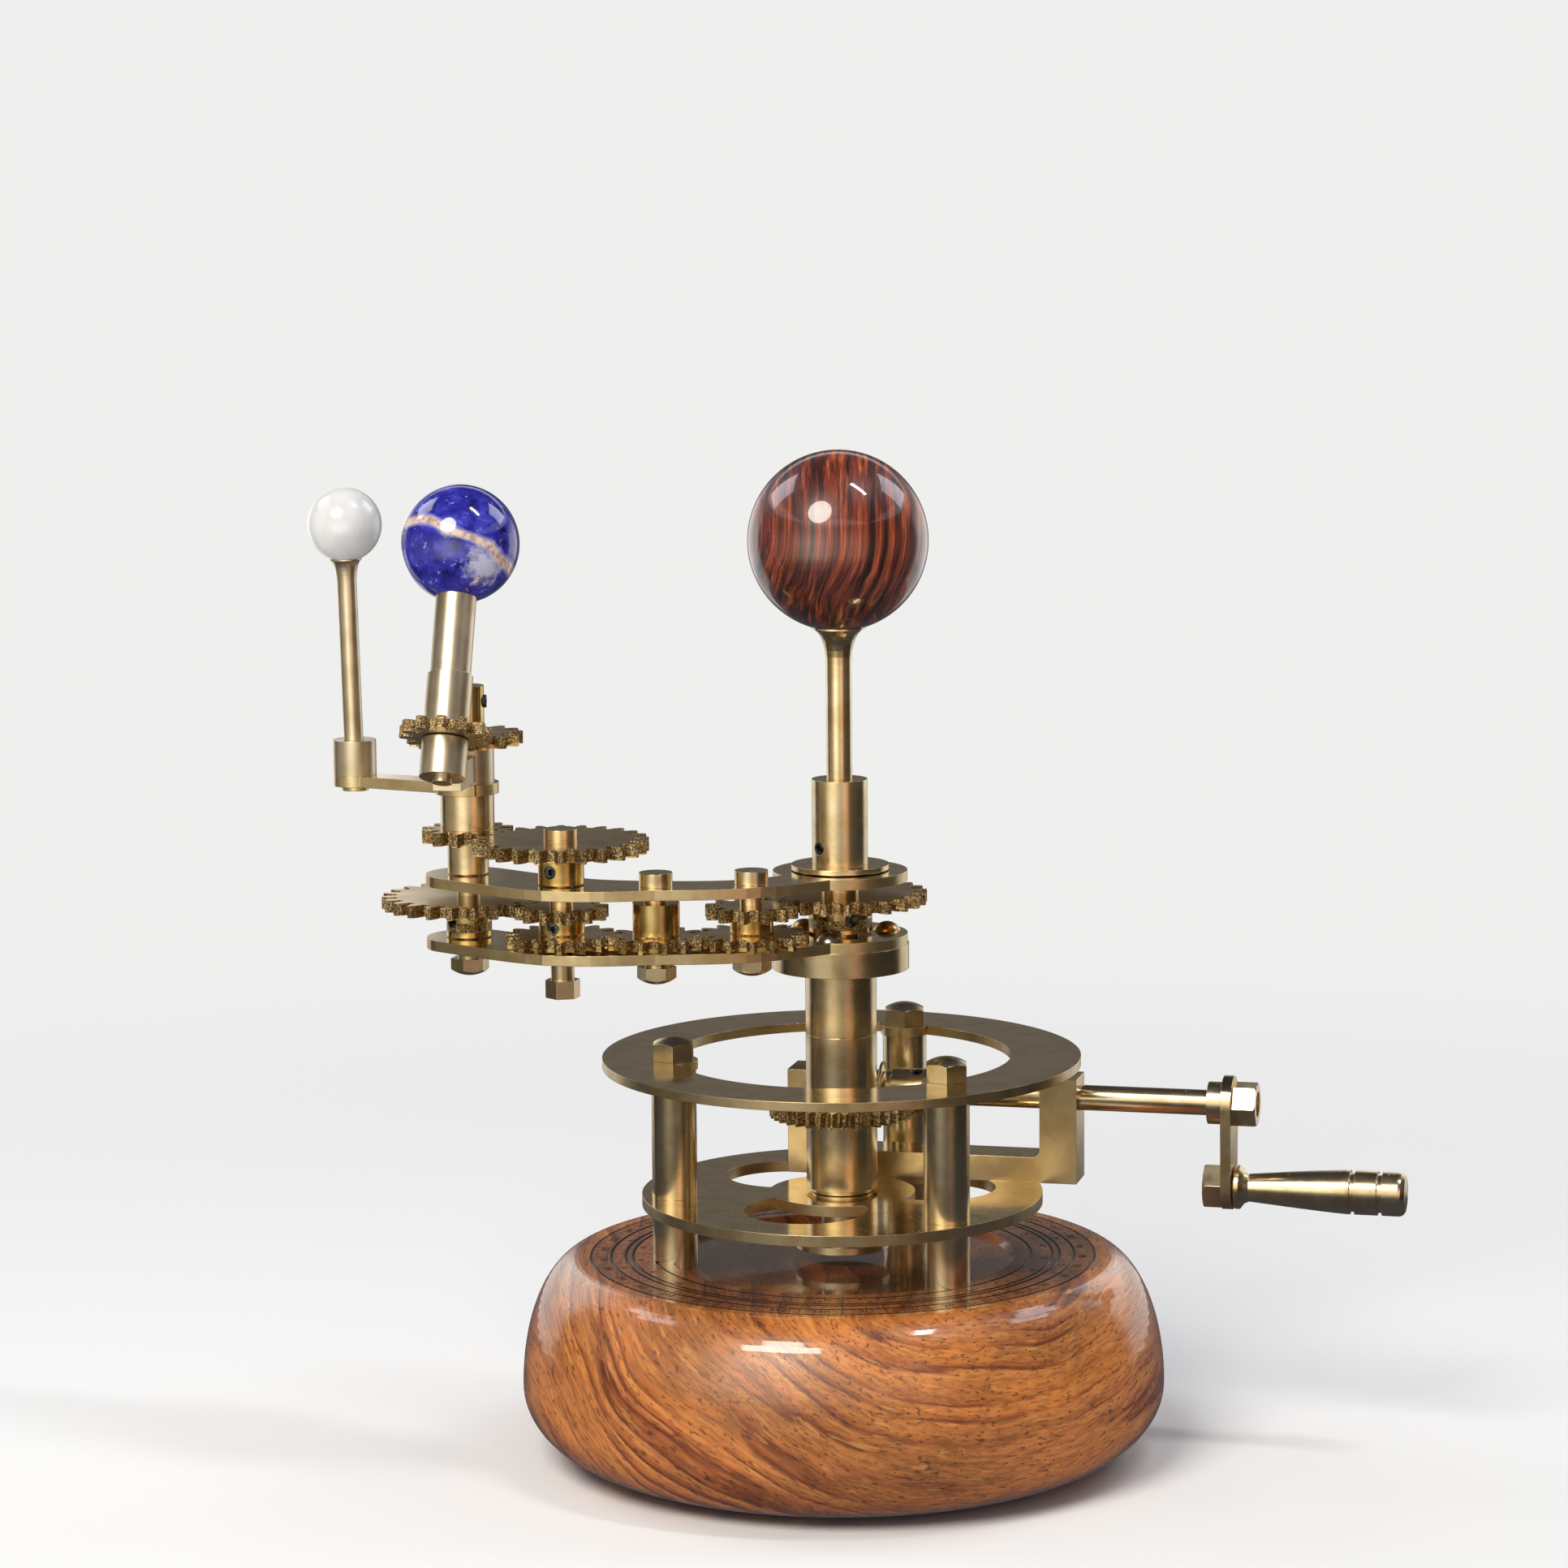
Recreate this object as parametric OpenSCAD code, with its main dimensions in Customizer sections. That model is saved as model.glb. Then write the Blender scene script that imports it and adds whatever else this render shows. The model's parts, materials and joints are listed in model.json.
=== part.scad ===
// Hand-cranked orrery: sun, earth and moon on a geared brass arm over a turned wooden base.
// Origin on the column's axis at the underside of the base, +Z up, the crank to the right.

/* [Wooden base] */
// Height of the base from the table to the dial
base_h = 33.5; // [28:0.5:42]
// Largest radius of the base
base_r = 53; // [50:0.5:62]
// Radius where the flat top starts to round over
base_top_r = 43; // [42.5:0.5:46]
// Radius of the flat underside
base_foot_r = 36; // [33:0.5:44]
// Height of the widest line above the table
belly_h = 12.5; // [9:0.5:18]
// Radius of the polished hollow inside the dial, at its rim
hollow_r = 28.7; // [26:0.1:29.5]
// Depth of the hollow
hollow_depth = 1; // [0.6:0.1:1.6]
// Width of the dial's engraved ring lines
line_w = 0.35; // [0.25:0.05:0.6]
// Depth of the dial's engraved ring lines
line_depth = 0.3; // [0.2:0.05:0.6]

/* [Lower frame] */
// Radius of the circle that the pillars stand on
pillar_circle_r = 27.7; // [26.5:0.1:28.5]
// Direction of the first pillar, in degrees from the crank side
pillar_turn = 67.3; // [62:0.1:72]
// Diameter of the pillars
pillar_d = 7.4; // [6.4:0.1:8.4]
// Length of the short pillars between the dial and the lower plate
foot_rise = 8.75; // [6:0.25:12]
// Length of the tall pillars between the two plates
pillar_h = 21.35; // [20.5:0.05:26]
// Radius of the lower plate
lower_plate_r = 33; // [32.2:0.1:36]
// Thickness of the lower plate
lower_plate_t = 1.8; // [1.2:0.1:2.6]
// Outer radius of the ring plate
ring_outer_r = 39.3; // [37:0.1:43]
// Inner radius of the ring plate
ring_inner_r = 27.9; // [26.5:0.1:29]
// Thickness of the ring plate
ring_t = 1.5; // [1:0.1:2.4]
// Diameter of the tie rods inside the pillars
rod_d = 3; // [2.4:0.1:3.6]
// Width across the flats of the cap nuts
cap_nut_af = 6.4; // [5.8:0.1:7]
// Height of the cap nuts
cap_nut_h = 3.9; // [3.4:0.1:5]

/* [Column] */
// Diameter of the fixed post
post_d = 6; // [5:0.1:6.6]
// Outer diameter of the turning column tube
tube_d = 11.7; // [10.6:0.1:12.4]
// Bore of the column tube
tube_bore = 8; // [7.6:0.1:8.8]
// Height of the arm flange's underside above the dial
arm_rise = 47.9; // [46.5:0.1:54]
// Radius of the arm flange and of the arm plates' round ends
flange_r = 11.2; // [10.8:0.1:12.4]
// Thickness of the arm flange
flange_t = 4.1; // [3.6:0.1:5.5]

/* [Worm drive] */
// Module of the worm and its wheel
worm_module = 0.63; // [0.61:0.01:0.65]
// Number of teeth on the worm wheel
wheel_teeth = 36; // [35:1:37]
// Width of the worm wheel
wheel_t = 2.6; // [2:0.1:3]
// Height of the worm's axis above the dial
worm_rise = 24.5; // [23:0.1:25]
// Pitch radius of the worm
worm_pitch_r = 4.16; // [4.06:0.1:4.56]
// Length of the worm's thread
thread_length = 10.8; // [9:0.2:11]
// Length of the worm's hub
worm_hub_l = 8.4; // [6:0.2:10]
// Direction of the crank shaft seen from above, in degrees from straight right
crank_turn = -13; // [-16:0.5:-10]
// Diameter of the crank shaft
crank_d = 4.2; // [3.8:0.1:4.6]

/* [Crank] */
// Distance of the inner bearing's outer face behind the worm's middle
bracket_back = 12; // [11:0.5:14]
// Distance of the outer bearing's outer face from the worm's middle
bracket_front = 37; // [34:0.5:42]
// Length of each bearing upright along the shaft
upright_t = 6.2; // [5.6:0.1:6.4]
// Width of the bracket
bracket_w = 7.5; // [6.6:0.1:7.8]
// Height of the bracket's foot bar
bracket_bar_h = 4.25; // [3:0.25:5]
// Height of the bracket above the shaft's axis
bracket_top = 3.6; // [3:0.1:4.4]
// Distance of the lever from the worm's middle
lever_out = 61; // [58:0.5:66]
// Thickness of the lever
lever_t = 1.7; // [1.4:0.1:2.4]
// Distance between the lever's two holes
lever_l = 14; // [12:0.5:14.5]
// Length of the handle
grip_l = 28.5; // [24:0.5:32]
// Largest diameter of the handle
grip_d = 7.3; // [6.6:0.1:7.6]
// Diameter of the handle's axle
grip_axle_d = 3; // [2.4:0.1:3.4]

/* [Arm] */
// Thickness of the arm plates
arm_t = 1.7; // [1.4:0.1:2.2]
// Clear height between the arm plates
arm_gap = 8.7; // [8.5:0.1:10]
// Half width of the arm's narrow part
arm_half_narrow = 4.3; // [3.6:0.1:5]
// Half width of the arm's wide part
arm_half_w = 7; // [6.2:0.1:7.6]
// Diameter of the gear shafts
shaft_d = 3.8; // [3.4:0.1:3.9]
// Diameter of the gear hubs
hub_d = 7.4; // [7:0.1:7.8]
// Direction from the post to the first idler, in degrees
link_1_turn = 224; // [222:0.1:226]
// Direction from the first idler to the second
link_2_turn = 185.9; // [184:0.1:188]
// Direction from the second idler to the layshaft
link_3_turn = 172.6; // [171:0.1:174]
// Direction from the layshaft to the spin shaft
link_4_turn = 143.1; // [141:0.1:145]

/* [Gears] */
// Module of the train's gears
gear_module = 1.1; // [1.07:0.01:1.13]
// Thickness of the gears
gear_t = 2; // [1.8:0.1:2.3]
// Thickness of the two gears above the arm
high_gear_t = 2.2; // [2:0.1:2.5]
// Height of a tooth above the pitch circle, in modules
tooth_top = 0.9; // [0.75:0.05:0.95]
// Depth of a tooth below the pitch circle, in modules
tooth_bottom = 1.25; // [1.2:0.05:1.4]
// Play between meshing teeth
backlash = 0.2; // [0.14:0.02:0.3]
// Teeth of the fixed gear on the post and of the gear on the spin shaft
fixed_teeth = 24; // [23:1:25]
// Teeth of the first idler's upper gear and of the layshaft's middle gear
small_teeth = 12; // [12:1:13]
// Teeth of the first idler's lower gear and of the layshaft's lower gear
low_teeth = 15; // [14:1:16]
// Teeth of the second idler
second_teeth = 13; // [12:1:14]
// Teeth of the layshaft's top gear
top_teeth = 24; // [23:1:25]
// Teeth of the gear that holds the earth's axis steady
spin_teeth = 15; // [14:1:16]
// Teeth of the tilted gear on the earth's spindle
earth_teeth = 12; // [12:1:13]

/* [Sun] */
// Radius of the sun ball
sun_r = 14.7; // [12.2:0.5:17.7]
// Height of the sun's centre above the dial
sun_rise = 118; // [114:0.5:126]
// Diameter of the collar that holds the sun's stem
sun_collar_d = 9.1; // [8.6:0.1:10]
// Height of the collar
sun_collar_h = 14; // [12:0.5:16]
// Diameter of the sun's stem
sun_stem_d = 4.2; // [3.6:0.1:4.4]

/* [Earth and moon] */
// Radius of the earth ball
earth_r = 9.6; // [8:0.1:10]
// Tilt of the earth's axis
earth_tilt = 23.5; // [23:0.1:24]
// Direction of the earth's spindle from the spin shaft, in degrees
earth_turn = 261.6; // [258:0.2:265]
// Distance along the spindle from the tilted gear to the earth's centre
earth_reach = 31.8; // [30:0.1:34]
// Radius of the moon ball
moon_r = 6.1; // [5:0.1:6.6]
// Length of the moon's arm
moon_reach = 21.5; // [20.5:0.1:22.5]
// Direction of the moon's arm, in degrees
moon_turn = 153; // [148:1:158]
// Height of the moon's centre above the top of its arm
moon_rise = 41.2; // [38:0.1:43]
// Outward lean of the moon's stem
moon_lean = 1.5; // [0:0.1:3]

/* [Clearances] */
// Radial play of a running fit
run_gap = 0.05; // [0.03:0.01:0.07]
// Radial play of a fixed fit
fit_gap = 0.01; // [0:0.005:0.02]
// Gap between faces that turn past each other
face_gap = 0.2; // [0.15:0.05:0.3]

/* [Hidden] */
$fn = 64;
cut = 0.1;              // how far a cut runs past the face that it opens
brass = "#c9a557";
cut_brass = "#a8823f";
steel = "#8d9096";

// Heights of the faces, from the table up
dial_z = base_h;
hollow_z = dial_z - hollow_depth;
plate_z = dial_z + foot_rise;
plate_top = plate_z + lower_plate_t;
ring_z = plate_top + pillar_h;
ring_top = ring_z + ring_t;
worm_z = dial_z + worm_rise;
flange_z = dial_z + arm_rise;
low_arm_z = flange_z + flange_t;
low_arm_top = low_arm_z + arm_t;
up_arm_z = low_arm_top + arm_gap;
up_arm_top = up_arm_z + arm_t;
gear_gap = 2 * face_gap;                        // between an arm plate and the gear above it
stack_hub_h = 2.5;                              // hub between the two gears of a stack
low_gear_z = low_arm_top + gear_gap;
up_gear_z = low_gear_z + gear_t + stack_hub_h;
top_hub_z = up_arm_top + face_gap;
top_gear_z = up_arm_top + 5.3;
moon_sleeve_z = top_gear_z + high_gear_t;
moon_arm_z = moon_sleeve_z + 5.8;
moon_arm_t = 1.8;
carrier_z = moon_arm_z + moon_arm_t;
carrier_h = 6;
spin_gear_z = carrier_z + carrier_h + face_gap;
spin_hub_top = spin_gear_z + gear_t + 7.6;
sun_z = dial_z + sun_rise;

// Plan of the shafts along the arm, from the post to the spin shaft
function along(turn, length) = [length * cos(turn), length * sin(turn)];
function centres(a, b) = gear_module * (a + b) / 2;
shaft_1 = along(link_1_turn, centres(fixed_teeth, small_teeth));
shaft_2 = shaft_1 + along(link_2_turn, centres(low_teeth, second_teeth));
shaft_3 = shaft_2 + along(link_3_turn, centres(second_teeth, low_teeth));
shaft_4 = shaft_3 + along(link_4_turn, centres(small_teeth, fixed_teeth));
moon_teeth = small_teeth + fixed_teeth - top_teeth;

// A gear's first tooth lies at its phase. The mesh of gear A, at phase_a, with gear B that lies in
// direction turn from A gives B's phase: a gap of B faces a tooth of A.
function pitches_past(phase_a, teeth_a, turn) = (turn - phase_a) * teeth_a / 360;
function mesh(phase_a, teeth_a, turn, teeth_b) =
    turn + 180 - (360 / teeth_b) * (0.5 - pitches_past(phase_a, teeth_a, turn));

fixed_phase = 4;
idler_1_up_phase = mesh(fixed_phase, fixed_teeth, link_1_turn, small_teeth);
idler_1_low_phase = 7;
idler_2_phase = mesh(idler_1_low_phase, low_teeth, link_2_turn, second_teeth);
lay_low_phase = mesh(idler_2_phase, second_teeth, link_3_turn, low_teeth);
lay_mid_phase = 11;
spin_phase = mesh(lay_mid_phase, small_teeth, link_4_turn, fixed_teeth);
lay_top_phase = 3;
moon_phase = mesh(lay_top_phase, top_teeth, link_4_turn, moon_teeth);
spin_drive_phase = 5;

// The tilted gear's centre: it meshes at its low rear rim, so it sits nearer than the pitch radii's sum
spin_pitch_r = gear_module * spin_teeth / 2;
earth_pitch_r = gear_module * earth_teeth / 2;
tilt_mesh_play = 0.15;
earth_out = spin_pitch_r + earth_pitch_r * cos(earth_tilt) + tilt_mesh_play;
earth_up = earth_pitch_r * sin(earth_tilt);
earth_centre = [each (shaft_4 + along(earth_turn, earth_out)), spin_gear_z + gear_t / 2 + earth_up];
earth_phase = -(360 / earth_teeth) * (0.5 - pitches_past(spin_drive_phase, spin_teeth, earth_turn));
spindle_d = 3.2;

// Worm and wheel
wheel_pitch_r = worm_module * wheel_teeth / 2;
worm_pitch = PI * worm_module;
worm_offset = wheel_pitch_r + worm_pitch_r;
lead_angle = atan(worm_pitch / (2 * PI * worm_pitch_r));
mesh_turn = crank_turn + 90;                    // direction of the worm from the column
thread_top = 0.88 * worm_module;
thread_bottom = 1.24 * worm_module;
thread_play = 0.3;                              // taken off the thread's and the teeth's width together
pressure = 20;                                  // pressure angle of all teeth
worm_hub_d = 7.6;

// Small hardware
nut_af = 5.5;
nut_h = 2.9;
screw_circle_r = 8;
screw_head_d = 4.5;
screw_head_h = 1.4;
grub_d = 2.1;
grub_l = 1.4;
stud_d = 2;                                     // studs that hold the balls
stud_l = 8;

// Shared forms

function involute(a) = tan(a) * 180 / PI - a;
// Half the angle that a tooth takes up at radius r
function half_tooth(teeth, r) =
    let(
        pitch_r = gear_module * teeth / 2,
        base_circle = pitch_r * cos(pressure),
        a = acos(base_circle / max(r, base_circle))
    )
    (PI * gear_module - backlash) / (4 * pitch_r) * 180 / PI + involute(pressure) - involute(a);
function polar(r, a) = [r * cos(a), r * sin(a)];
function tooth_radii(teeth, top) =
    let(
        pitch_r = gear_module * teeth / 2,
        root = pitch_r - gear_module * tooth_bottom,
        tip = pitch_r + gear_module * top,
        start = max(root + 0.1, pitch_r * cos(pressure))
    )
    [root, start, (start + tip) / 2, tip];
function gear_outline(teeth, phase, top) =
    let(radii = tooth_radii(teeth, top))
    [for (k = [0:teeth - 1], side = [-1, 1], i = [0:3])
        let(r = radii[side < 0 ? i : 3 - i])
        polar(r, phase + 360 * k / teeth + side * half_tooth(teeth, r))];

module gear_disc(teeth, phase, top, t) {
    linear_extrude(t) polygon(gear_outline(teeth, phase, top));
}

// A cylinder from the lower height z to the upper height top
module rod(d, z, top) {
    translate([0, 0, z]) cylinder(d = d, h = top - z);
}

// A gear with a hub on one or both sides, bored through
module hubbed_gear(teeth, phase, z, bore, below = 0, above = 0, hub = hub_d, top = tooth_top,
    t = gear_t) {
    difference() {
        union() {
            translate([0, 0, z]) gear_disc(teeth, phase, top, t);
            if (below > 0) rod(hub, z - below, z + cut);
            if (above > 0) rod(hub, z + t - cut, z + t + above);
        }
        rod(bore, z - below - cut, z + t + above + cut);
    }
}

// The hole for a set screw, from the axis outwards in direction turn
module screw_hole(turn, z, reach) {
    translate([0, 0, z]) rotate([0, 90, turn]) cylinder(d = grub_d + 2 * fit_gap, h = reach);
}

// A set screw with a hexagon socket, its point at radius tip
module grub_screw(turn, z, tip) {
    translate([0, 0, z]) rotate([0, 90, turn]) translate([0, 0, tip]) difference() {
        cylinder(d = grub_d, h = grub_l, $fn = 24);
        translate([0, 0, grub_l - 0.8]) cylinder(d = 1.1, h = 1, $fn = 6);
    }
}

// A hexagon prism of width af across its flats
module hexagon(af, h) {
    cylinder(d = af / cos(30), h = h, $fn = 6);
}

// A nut that is rounded off at its upper end and bored from below
module domed_nut(af, h, bore, depth) {
    dome_r = af * 0.94;
    difference() {
        intersection() {
            hexagon(af, h);
            translate([0, 0, h - dome_r]) sphere(r = dome_r);
        }
        translate([0, 0, -cut]) cylinder(d = bore, h = depth + cut);
    }
}

module at_pillars() {
    for (k = [0:2])
        rotate(pillar_turn + 120 * k) translate([pillar_circle_r, 0, 0]) children();
}

module at_shaft(p) {
    translate([p[0], p[1], 0]) children();
}

// Places its children, built along +Z, along the crank shaft with the worm's middle at zero
module on_crank() {
    rotate(mesh_turn) translate([worm_offset, 0, worm_z]) rotate(-90) rotate([0, 90, 0])
        children();
}

// Places its children, built along +Z, on the lever's lower hole
module on_lever_end() {
    on_crank() translate([lever_l, 0, 0]) children();
}

// Places its children, built along +Z, on the earth's tilted axis with the gear's middle at zero
module on_earth_axis() {
    translate(earth_centre) rotate(earth_turn) rotate([0, -earth_tilt, 0]) rotate(180) children();
}

module on_moon_arm() {
    at_shaft(shaft_4) rotate(moon_turn) translate([moon_reach, 0, carrier_z]) children();
}

module on_moon_stem() {
    on_moon_arm() rotate([0, moon_lean, 0]) children();
}

// Wooden base

ring_lines = [30.9, 34.4, 35.6, 38, 41.4];      // radii of the dial's ring lines
bevel = 1.2;                                    // width of the hollow's sloping rim
nut_seat_z = 5;
nut_seat_d = 9;
curve_steps = 24;

function quarter(cx, cz, rx, rz, from, to) =
    [for (i = [0:curve_steps]) let(a = from + (to - from) * i / curve_steps)
        [cx + rx * cos(a), cz + rz * sin(a)]];

module base_profile() {
    difference() {
        polygon([
            [0, 0],
            each quarter(base_foot_r, belly_h, base_r - base_foot_r, belly_h, -90, 0),
            each quarter(base_top_r, belly_h, base_r - base_top_r, base_h - belly_h, 0, 90),
            [hollow_r, base_h], [hollow_r - bevel, hollow_z], [0, hollow_z]
        ]);
        for (r = ring_lines) translate([r, dial_z - line_depth]) square([line_w, line_depth + cut]);
    }
}

module wood_base() color("#a3622c") difference() {
    rotate_extrude($fn = 128) base_profile();
    at_pillars() {
        rod(rod_d + 2 * run_gap, -cut, base_h);
        rod(nut_seat_d, -cut, nut_seat_z);
        rod(pillar_d + 2 * fit_gap, hollow_z, dial_z + cut);
    }
}

module base_nuts() color(brass) at_pillars()
    translate([0, 0, nut_seat_z - nut_h]) difference() {
        hexagon(nut_af, nut_h);
        translate([0, 0, -cut]) cylinder(d = rod_d + 2 * fit_gap, h = nut_h + 2 * cut);
    }

// Lower frame

cap_bore_depth = cap_nut_h - 1.1;

module tie_rods() color(brass) at_pillars()
    rod(rod_d, nut_seat_z - nut_h - 0.5, ring_top + cap_bore_depth - 0.3);

module pillar_sleeve(z, top) {
    difference() {
        rod(pillar_d, z, top);
        rod(rod_d + 2 * fit_gap, z - cut, top + cut);
    }
}

module pillar_feet() color(brass) at_pillars() pillar_sleeve(hollow_z, plate_z);

module pillars() color(brass) at_pillars() pillar_sleeve(plate_top, ring_z);

module cap_nuts() color(brass) at_pillars() translate([0, 0, ring_top]) rotate(22)
    domed_nut(cap_nut_af, cap_nut_h, rod_d + 2 * fit_gap, cap_bore_depth);

slot_hub_r = 12;                                // the plate's solid middle
slot_centre_r = 15.5;
slot_r = 10;

module lower_plate() color(brass) difference() {
    rod(2 * lower_plate_r, plate_z, plate_top);
    rod(post_d + 2 * fit_gap, plate_z - cut, plate_top + cut);
    at_pillars() rod(rod_d + 2 * fit_gap, plate_z - cut, plate_top + cut);
    for (k = [0:2]) difference() {
        rotate(pillar_turn + 60 + 120 * k) translate([slot_centre_r, 0, 0])
            rod(2 * slot_r, plate_z - cut, plate_top + cut);
        rod(2 * slot_hub_r, plate_z - 2 * cut, plate_top + 2 * cut);
    }
}

module ring_plate() color(brass) difference() {
    union() {
        difference() {
            rod(2 * ring_outer_r, ring_z, ring_top);
            rod(2 * ring_inner_r, ring_z - cut, ring_top + cut);
        }
        at_pillars() rod(pillar_d + 0.6, ring_z, ring_top);
    }
    at_pillars() rod(rod_d + 2 * fit_gap, ring_z - cut, ring_top + cut);
}

bracket_inner_r = 1.5;                          // rounding of the window's lower corners
end_ring_d = 6;
end_ring_t = 1;
end_ring_sink = 1.4;

// The bracket's side view: distance along the shaft and height above the lower plate
module bracket_side() {
    total_h = worm_z + bracket_top - plate_top;
    left = -bracket_back + upright_t;
    right = bracket_front - upright_t;
    difference() {
        translate([-bracket_back, 0]) square([bracket_back + bracket_front, total_h]);
        translate([left, bracket_bar_h + bracket_inner_r]) square([right - left, total_h]);
        translate([left + bracket_inner_r, bracket_bar_h])
            square([right - left - 2 * bracket_inner_r, total_h]);
        for (x = [left + bracket_inner_r, right - bracket_inner_r])
            translate([x, bracket_bar_h + bracket_inner_r]) circle(r = bracket_inner_r);
    }
}

module crank_bracket() color(brass) difference() {
    rotate(crank_turn) translate([0, worm_offset + bracket_w / 2, plate_top]) rotate([90, 0, 0])
        linear_extrude(bracket_w) bracket_side();
    on_crank() {
        translate([0, 0, -bracket_back - cut])
            cylinder(d = crank_d + 2 * run_gap, h = bracket_back + bracket_front + 2 * cut);
        translate([0, 0, -bracket_back - cut])
            cylinder(d = end_ring_d + 1, h = end_ring_sink + cut);
    }
}

post_disc_d = 15.5;
post_disc_t = 1.2;
post_disc_z = dial_z + 1.3;
post_neck_d = 7;

module post_flange() color(brass) difference() {
    union() {
        rod(post_disc_d, post_disc_z, post_disc_z + post_disc_t);
        rod(post_neck_d, post_disc_z, plate_z);
    }
    rod(post_d + 2 * fit_gap, post_disc_z - cut, plate_z + cut);
}

washer_t = 0.8;
washer_z = up_arm_top + face_gap;
collar_z = washer_z + washer_t;
collar_top = collar_z + sun_collar_h;
post_top = collar_top - 2;
stem_sink = 10;                                 // how deep the sun's stem stands in the post

module sun_post() color(brass) difference() {
    rod(post_d, post_disc_z, post_top);
    rod(sun_stem_d + 2 * fit_gap, post_top - stem_sink, post_top + cut);
}

fixed_hub_d = 10.4;
fixed_screw_turn = 290;

module fixed_gear() color(cut_brass) difference() {
    hubbed_gear(fixed_teeth, fixed_phase, up_gear_z, post_d + 2 * fit_gap,
        below = up_gear_z - low_gear_z, hub = fixed_hub_d);
    screw_hole(fixed_screw_turn, up_gear_z - 2.2, fixed_hub_d);
}

module post_washer() color(brass) difference() {
    rod(16, washer_z, collar_z);
    rod(post_d + 2 * fit_gap, washer_z - cut, collar_z + cut);
}

collar_screw_turn = 220;                        // direction of the collar's set screw
collar_screw_z = collar_z + 2.9;
module sun_collar() color(brass) difference() {
    rod(sun_collar_d, collar_z, collar_top);
    rod(post_d + 2 * fit_gap, collar_z - cut, post_top + face_gap);
    rod(sun_stem_d + 2 * fit_gap, post_top, collar_top + cut);
    screw_hole(collar_screw_turn, collar_screw_z, sun_collar_d);
}

lip_t = 0.3;                                    // thickness of a flare's edge

// A stem from height z up to a ball, flaring out to the radius lip under the ball
module flared_stem(d, z, ball_z, ball_r, lip, flare) {
    lip_z = ball_z - sqrt(ball_r * ball_r - lip * lip);
    difference() {
        rotate_extrude() polygon([
            [0, z], [d / 2, z],
            each [for (i = [0:8]) let(a = 90 * i / 8)
                [d / 2 + (lip - d / 2) * (1 - cos(a)), lip_z - lip_t - flare * (1 - sin(a))]],
            [lip, lip_z + lip_t], [0, lip_z + lip_t]
        ]);
        translate([0, 0, ball_z]) sphere(r = ball_r);
    }
    rod(stud_d, z, ball_z - ball_r + stud_l);
}

// A ball with the blind hole for its stud
module studded_ball(r) {
    difference() {
        sphere(r = r, $fn = 96);
        rod(stud_d + 2 * fit_gap, -r - cut, -r + stud_l + 0.5);
    }
}

module sun_stem() color(brass)
    flared_stem(sun_stem_d, post_top - stem_sink + face_gap, sun_z, sun_r + fit_gap, 4.4, 5.6);

module sun_ball() color("#6b2413") translate([0, 0, sun_z]) studded_ball(sun_r);

module frame_grub_screws() color(steel) {
    grub_screw(fixed_screw_turn, up_gear_z - 2.2, post_d / 2 + 0.1);
    grub_screw(collar_screw_turn, collar_screw_z, post_d / 2 + 0.1);
}

// Turning column

bush_rim_t = 0.75;
bush_rim_d = 10;
tube_z = plate_top + face_gap / 2 + bush_rim_t;
tube_sink = 3;                                  // how far the tube runs up into the flange
seam_z = dial_z + 37;                           // where the tube's two lengths meet

module column_tube() color(brass) difference() {
    rod(tube_d, tube_z, flange_z + tube_sink);
    rod(tube_bore, tube_z - cut, flange_z + tube_sink + cut);
    translate([0, 0, seam_z]) difference() {
        cylinder(d = tube_d + 1, h = 0.12);
        cylinder(d = tube_d - 0.24, h = 0.12);
    }
}

module column_bushes() color(cut_brass) difference() {
    union() {
        rod(bush_rim_d, tube_z - bush_rim_t, tube_z);
        rod(tube_bore - 2 * fit_gap, tube_z - bush_rim_t / 2, tube_z + 8);
        rod(tube_bore - 2 * fit_gap, flange_z - 6, flange_z + tube_sink);
    }
    rod(post_d + 2 * run_gap, plate_top, flange_z + tube_sink + cut);
}

// One tooth of the worm wheel, along +X, with the flanks that match the thread
module wheel_tooth() {
    root_r = wheel_pitch_r - thread_bottom;
    tip_r = wheel_pitch_r + thread_top;
    half_w = (worm_pitch - thread_play) / 4;
    root_half = half_w + thread_bottom * tan(pressure);
    tip_half = half_w - thread_top * tan(pressure);
    rotate([-lead_angle, 0, 0]) translate([0, 0, -wheel_t]) linear_extrude(2 * wheel_t)
        polygon([[root_r - 1, -root_half], [root_r, -root_half], [tip_r, -tip_half],
            [tip_r, tip_half], [root_r, root_half], [root_r - 1, root_half]]);
}

module worm_wheel() color(cut_brass) difference() {
    union() {
        translate([0, 0, worm_z - wheel_t / 2])
            cylinder(r = wheel_pitch_r - thread_bottom, h = wheel_t);
        intersection() {
            translate([0, 0, worm_z]) for (k = [0:wheel_teeth - 1])
                rotate(mesh_turn + 360 * (k + 0.5) / wheel_teeth) wheel_tooth();
            translate([0, 0, worm_z - wheel_t / 2])
                cylinder(r = wheel_pitch_r + thread_top + 1, h = wheel_t);
        }
    }
    rod(tube_d + 2 * fit_gap, worm_z - wheel_t, worm_z + wheel_t);
}

flange_screw_d = 2.5;
flange_screw_depth = 2.8;                       // how far the screws go into the flange
flange_screw_turn = 258;

module at_flange_screws() for (k = [0:2])
    rotate(flange_screw_turn + 120 * k) translate([screw_circle_r, 0, 0]) children();

module arm_flange() color(brass) difference() {
    rod(2 * flange_r, flange_z, low_arm_z);
    rod(tube_d + 2 * fit_gap, flange_z - cut, flange_z + tube_sink);
    rod(post_d + 2 * run_gap, flange_z, low_arm_z + cut);
    at_flange_screws()
        rod(flange_screw_d + 2 * fit_gap, low_arm_z - flange_screw_depth - face_gap,
            low_arm_z + cut);
}

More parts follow.
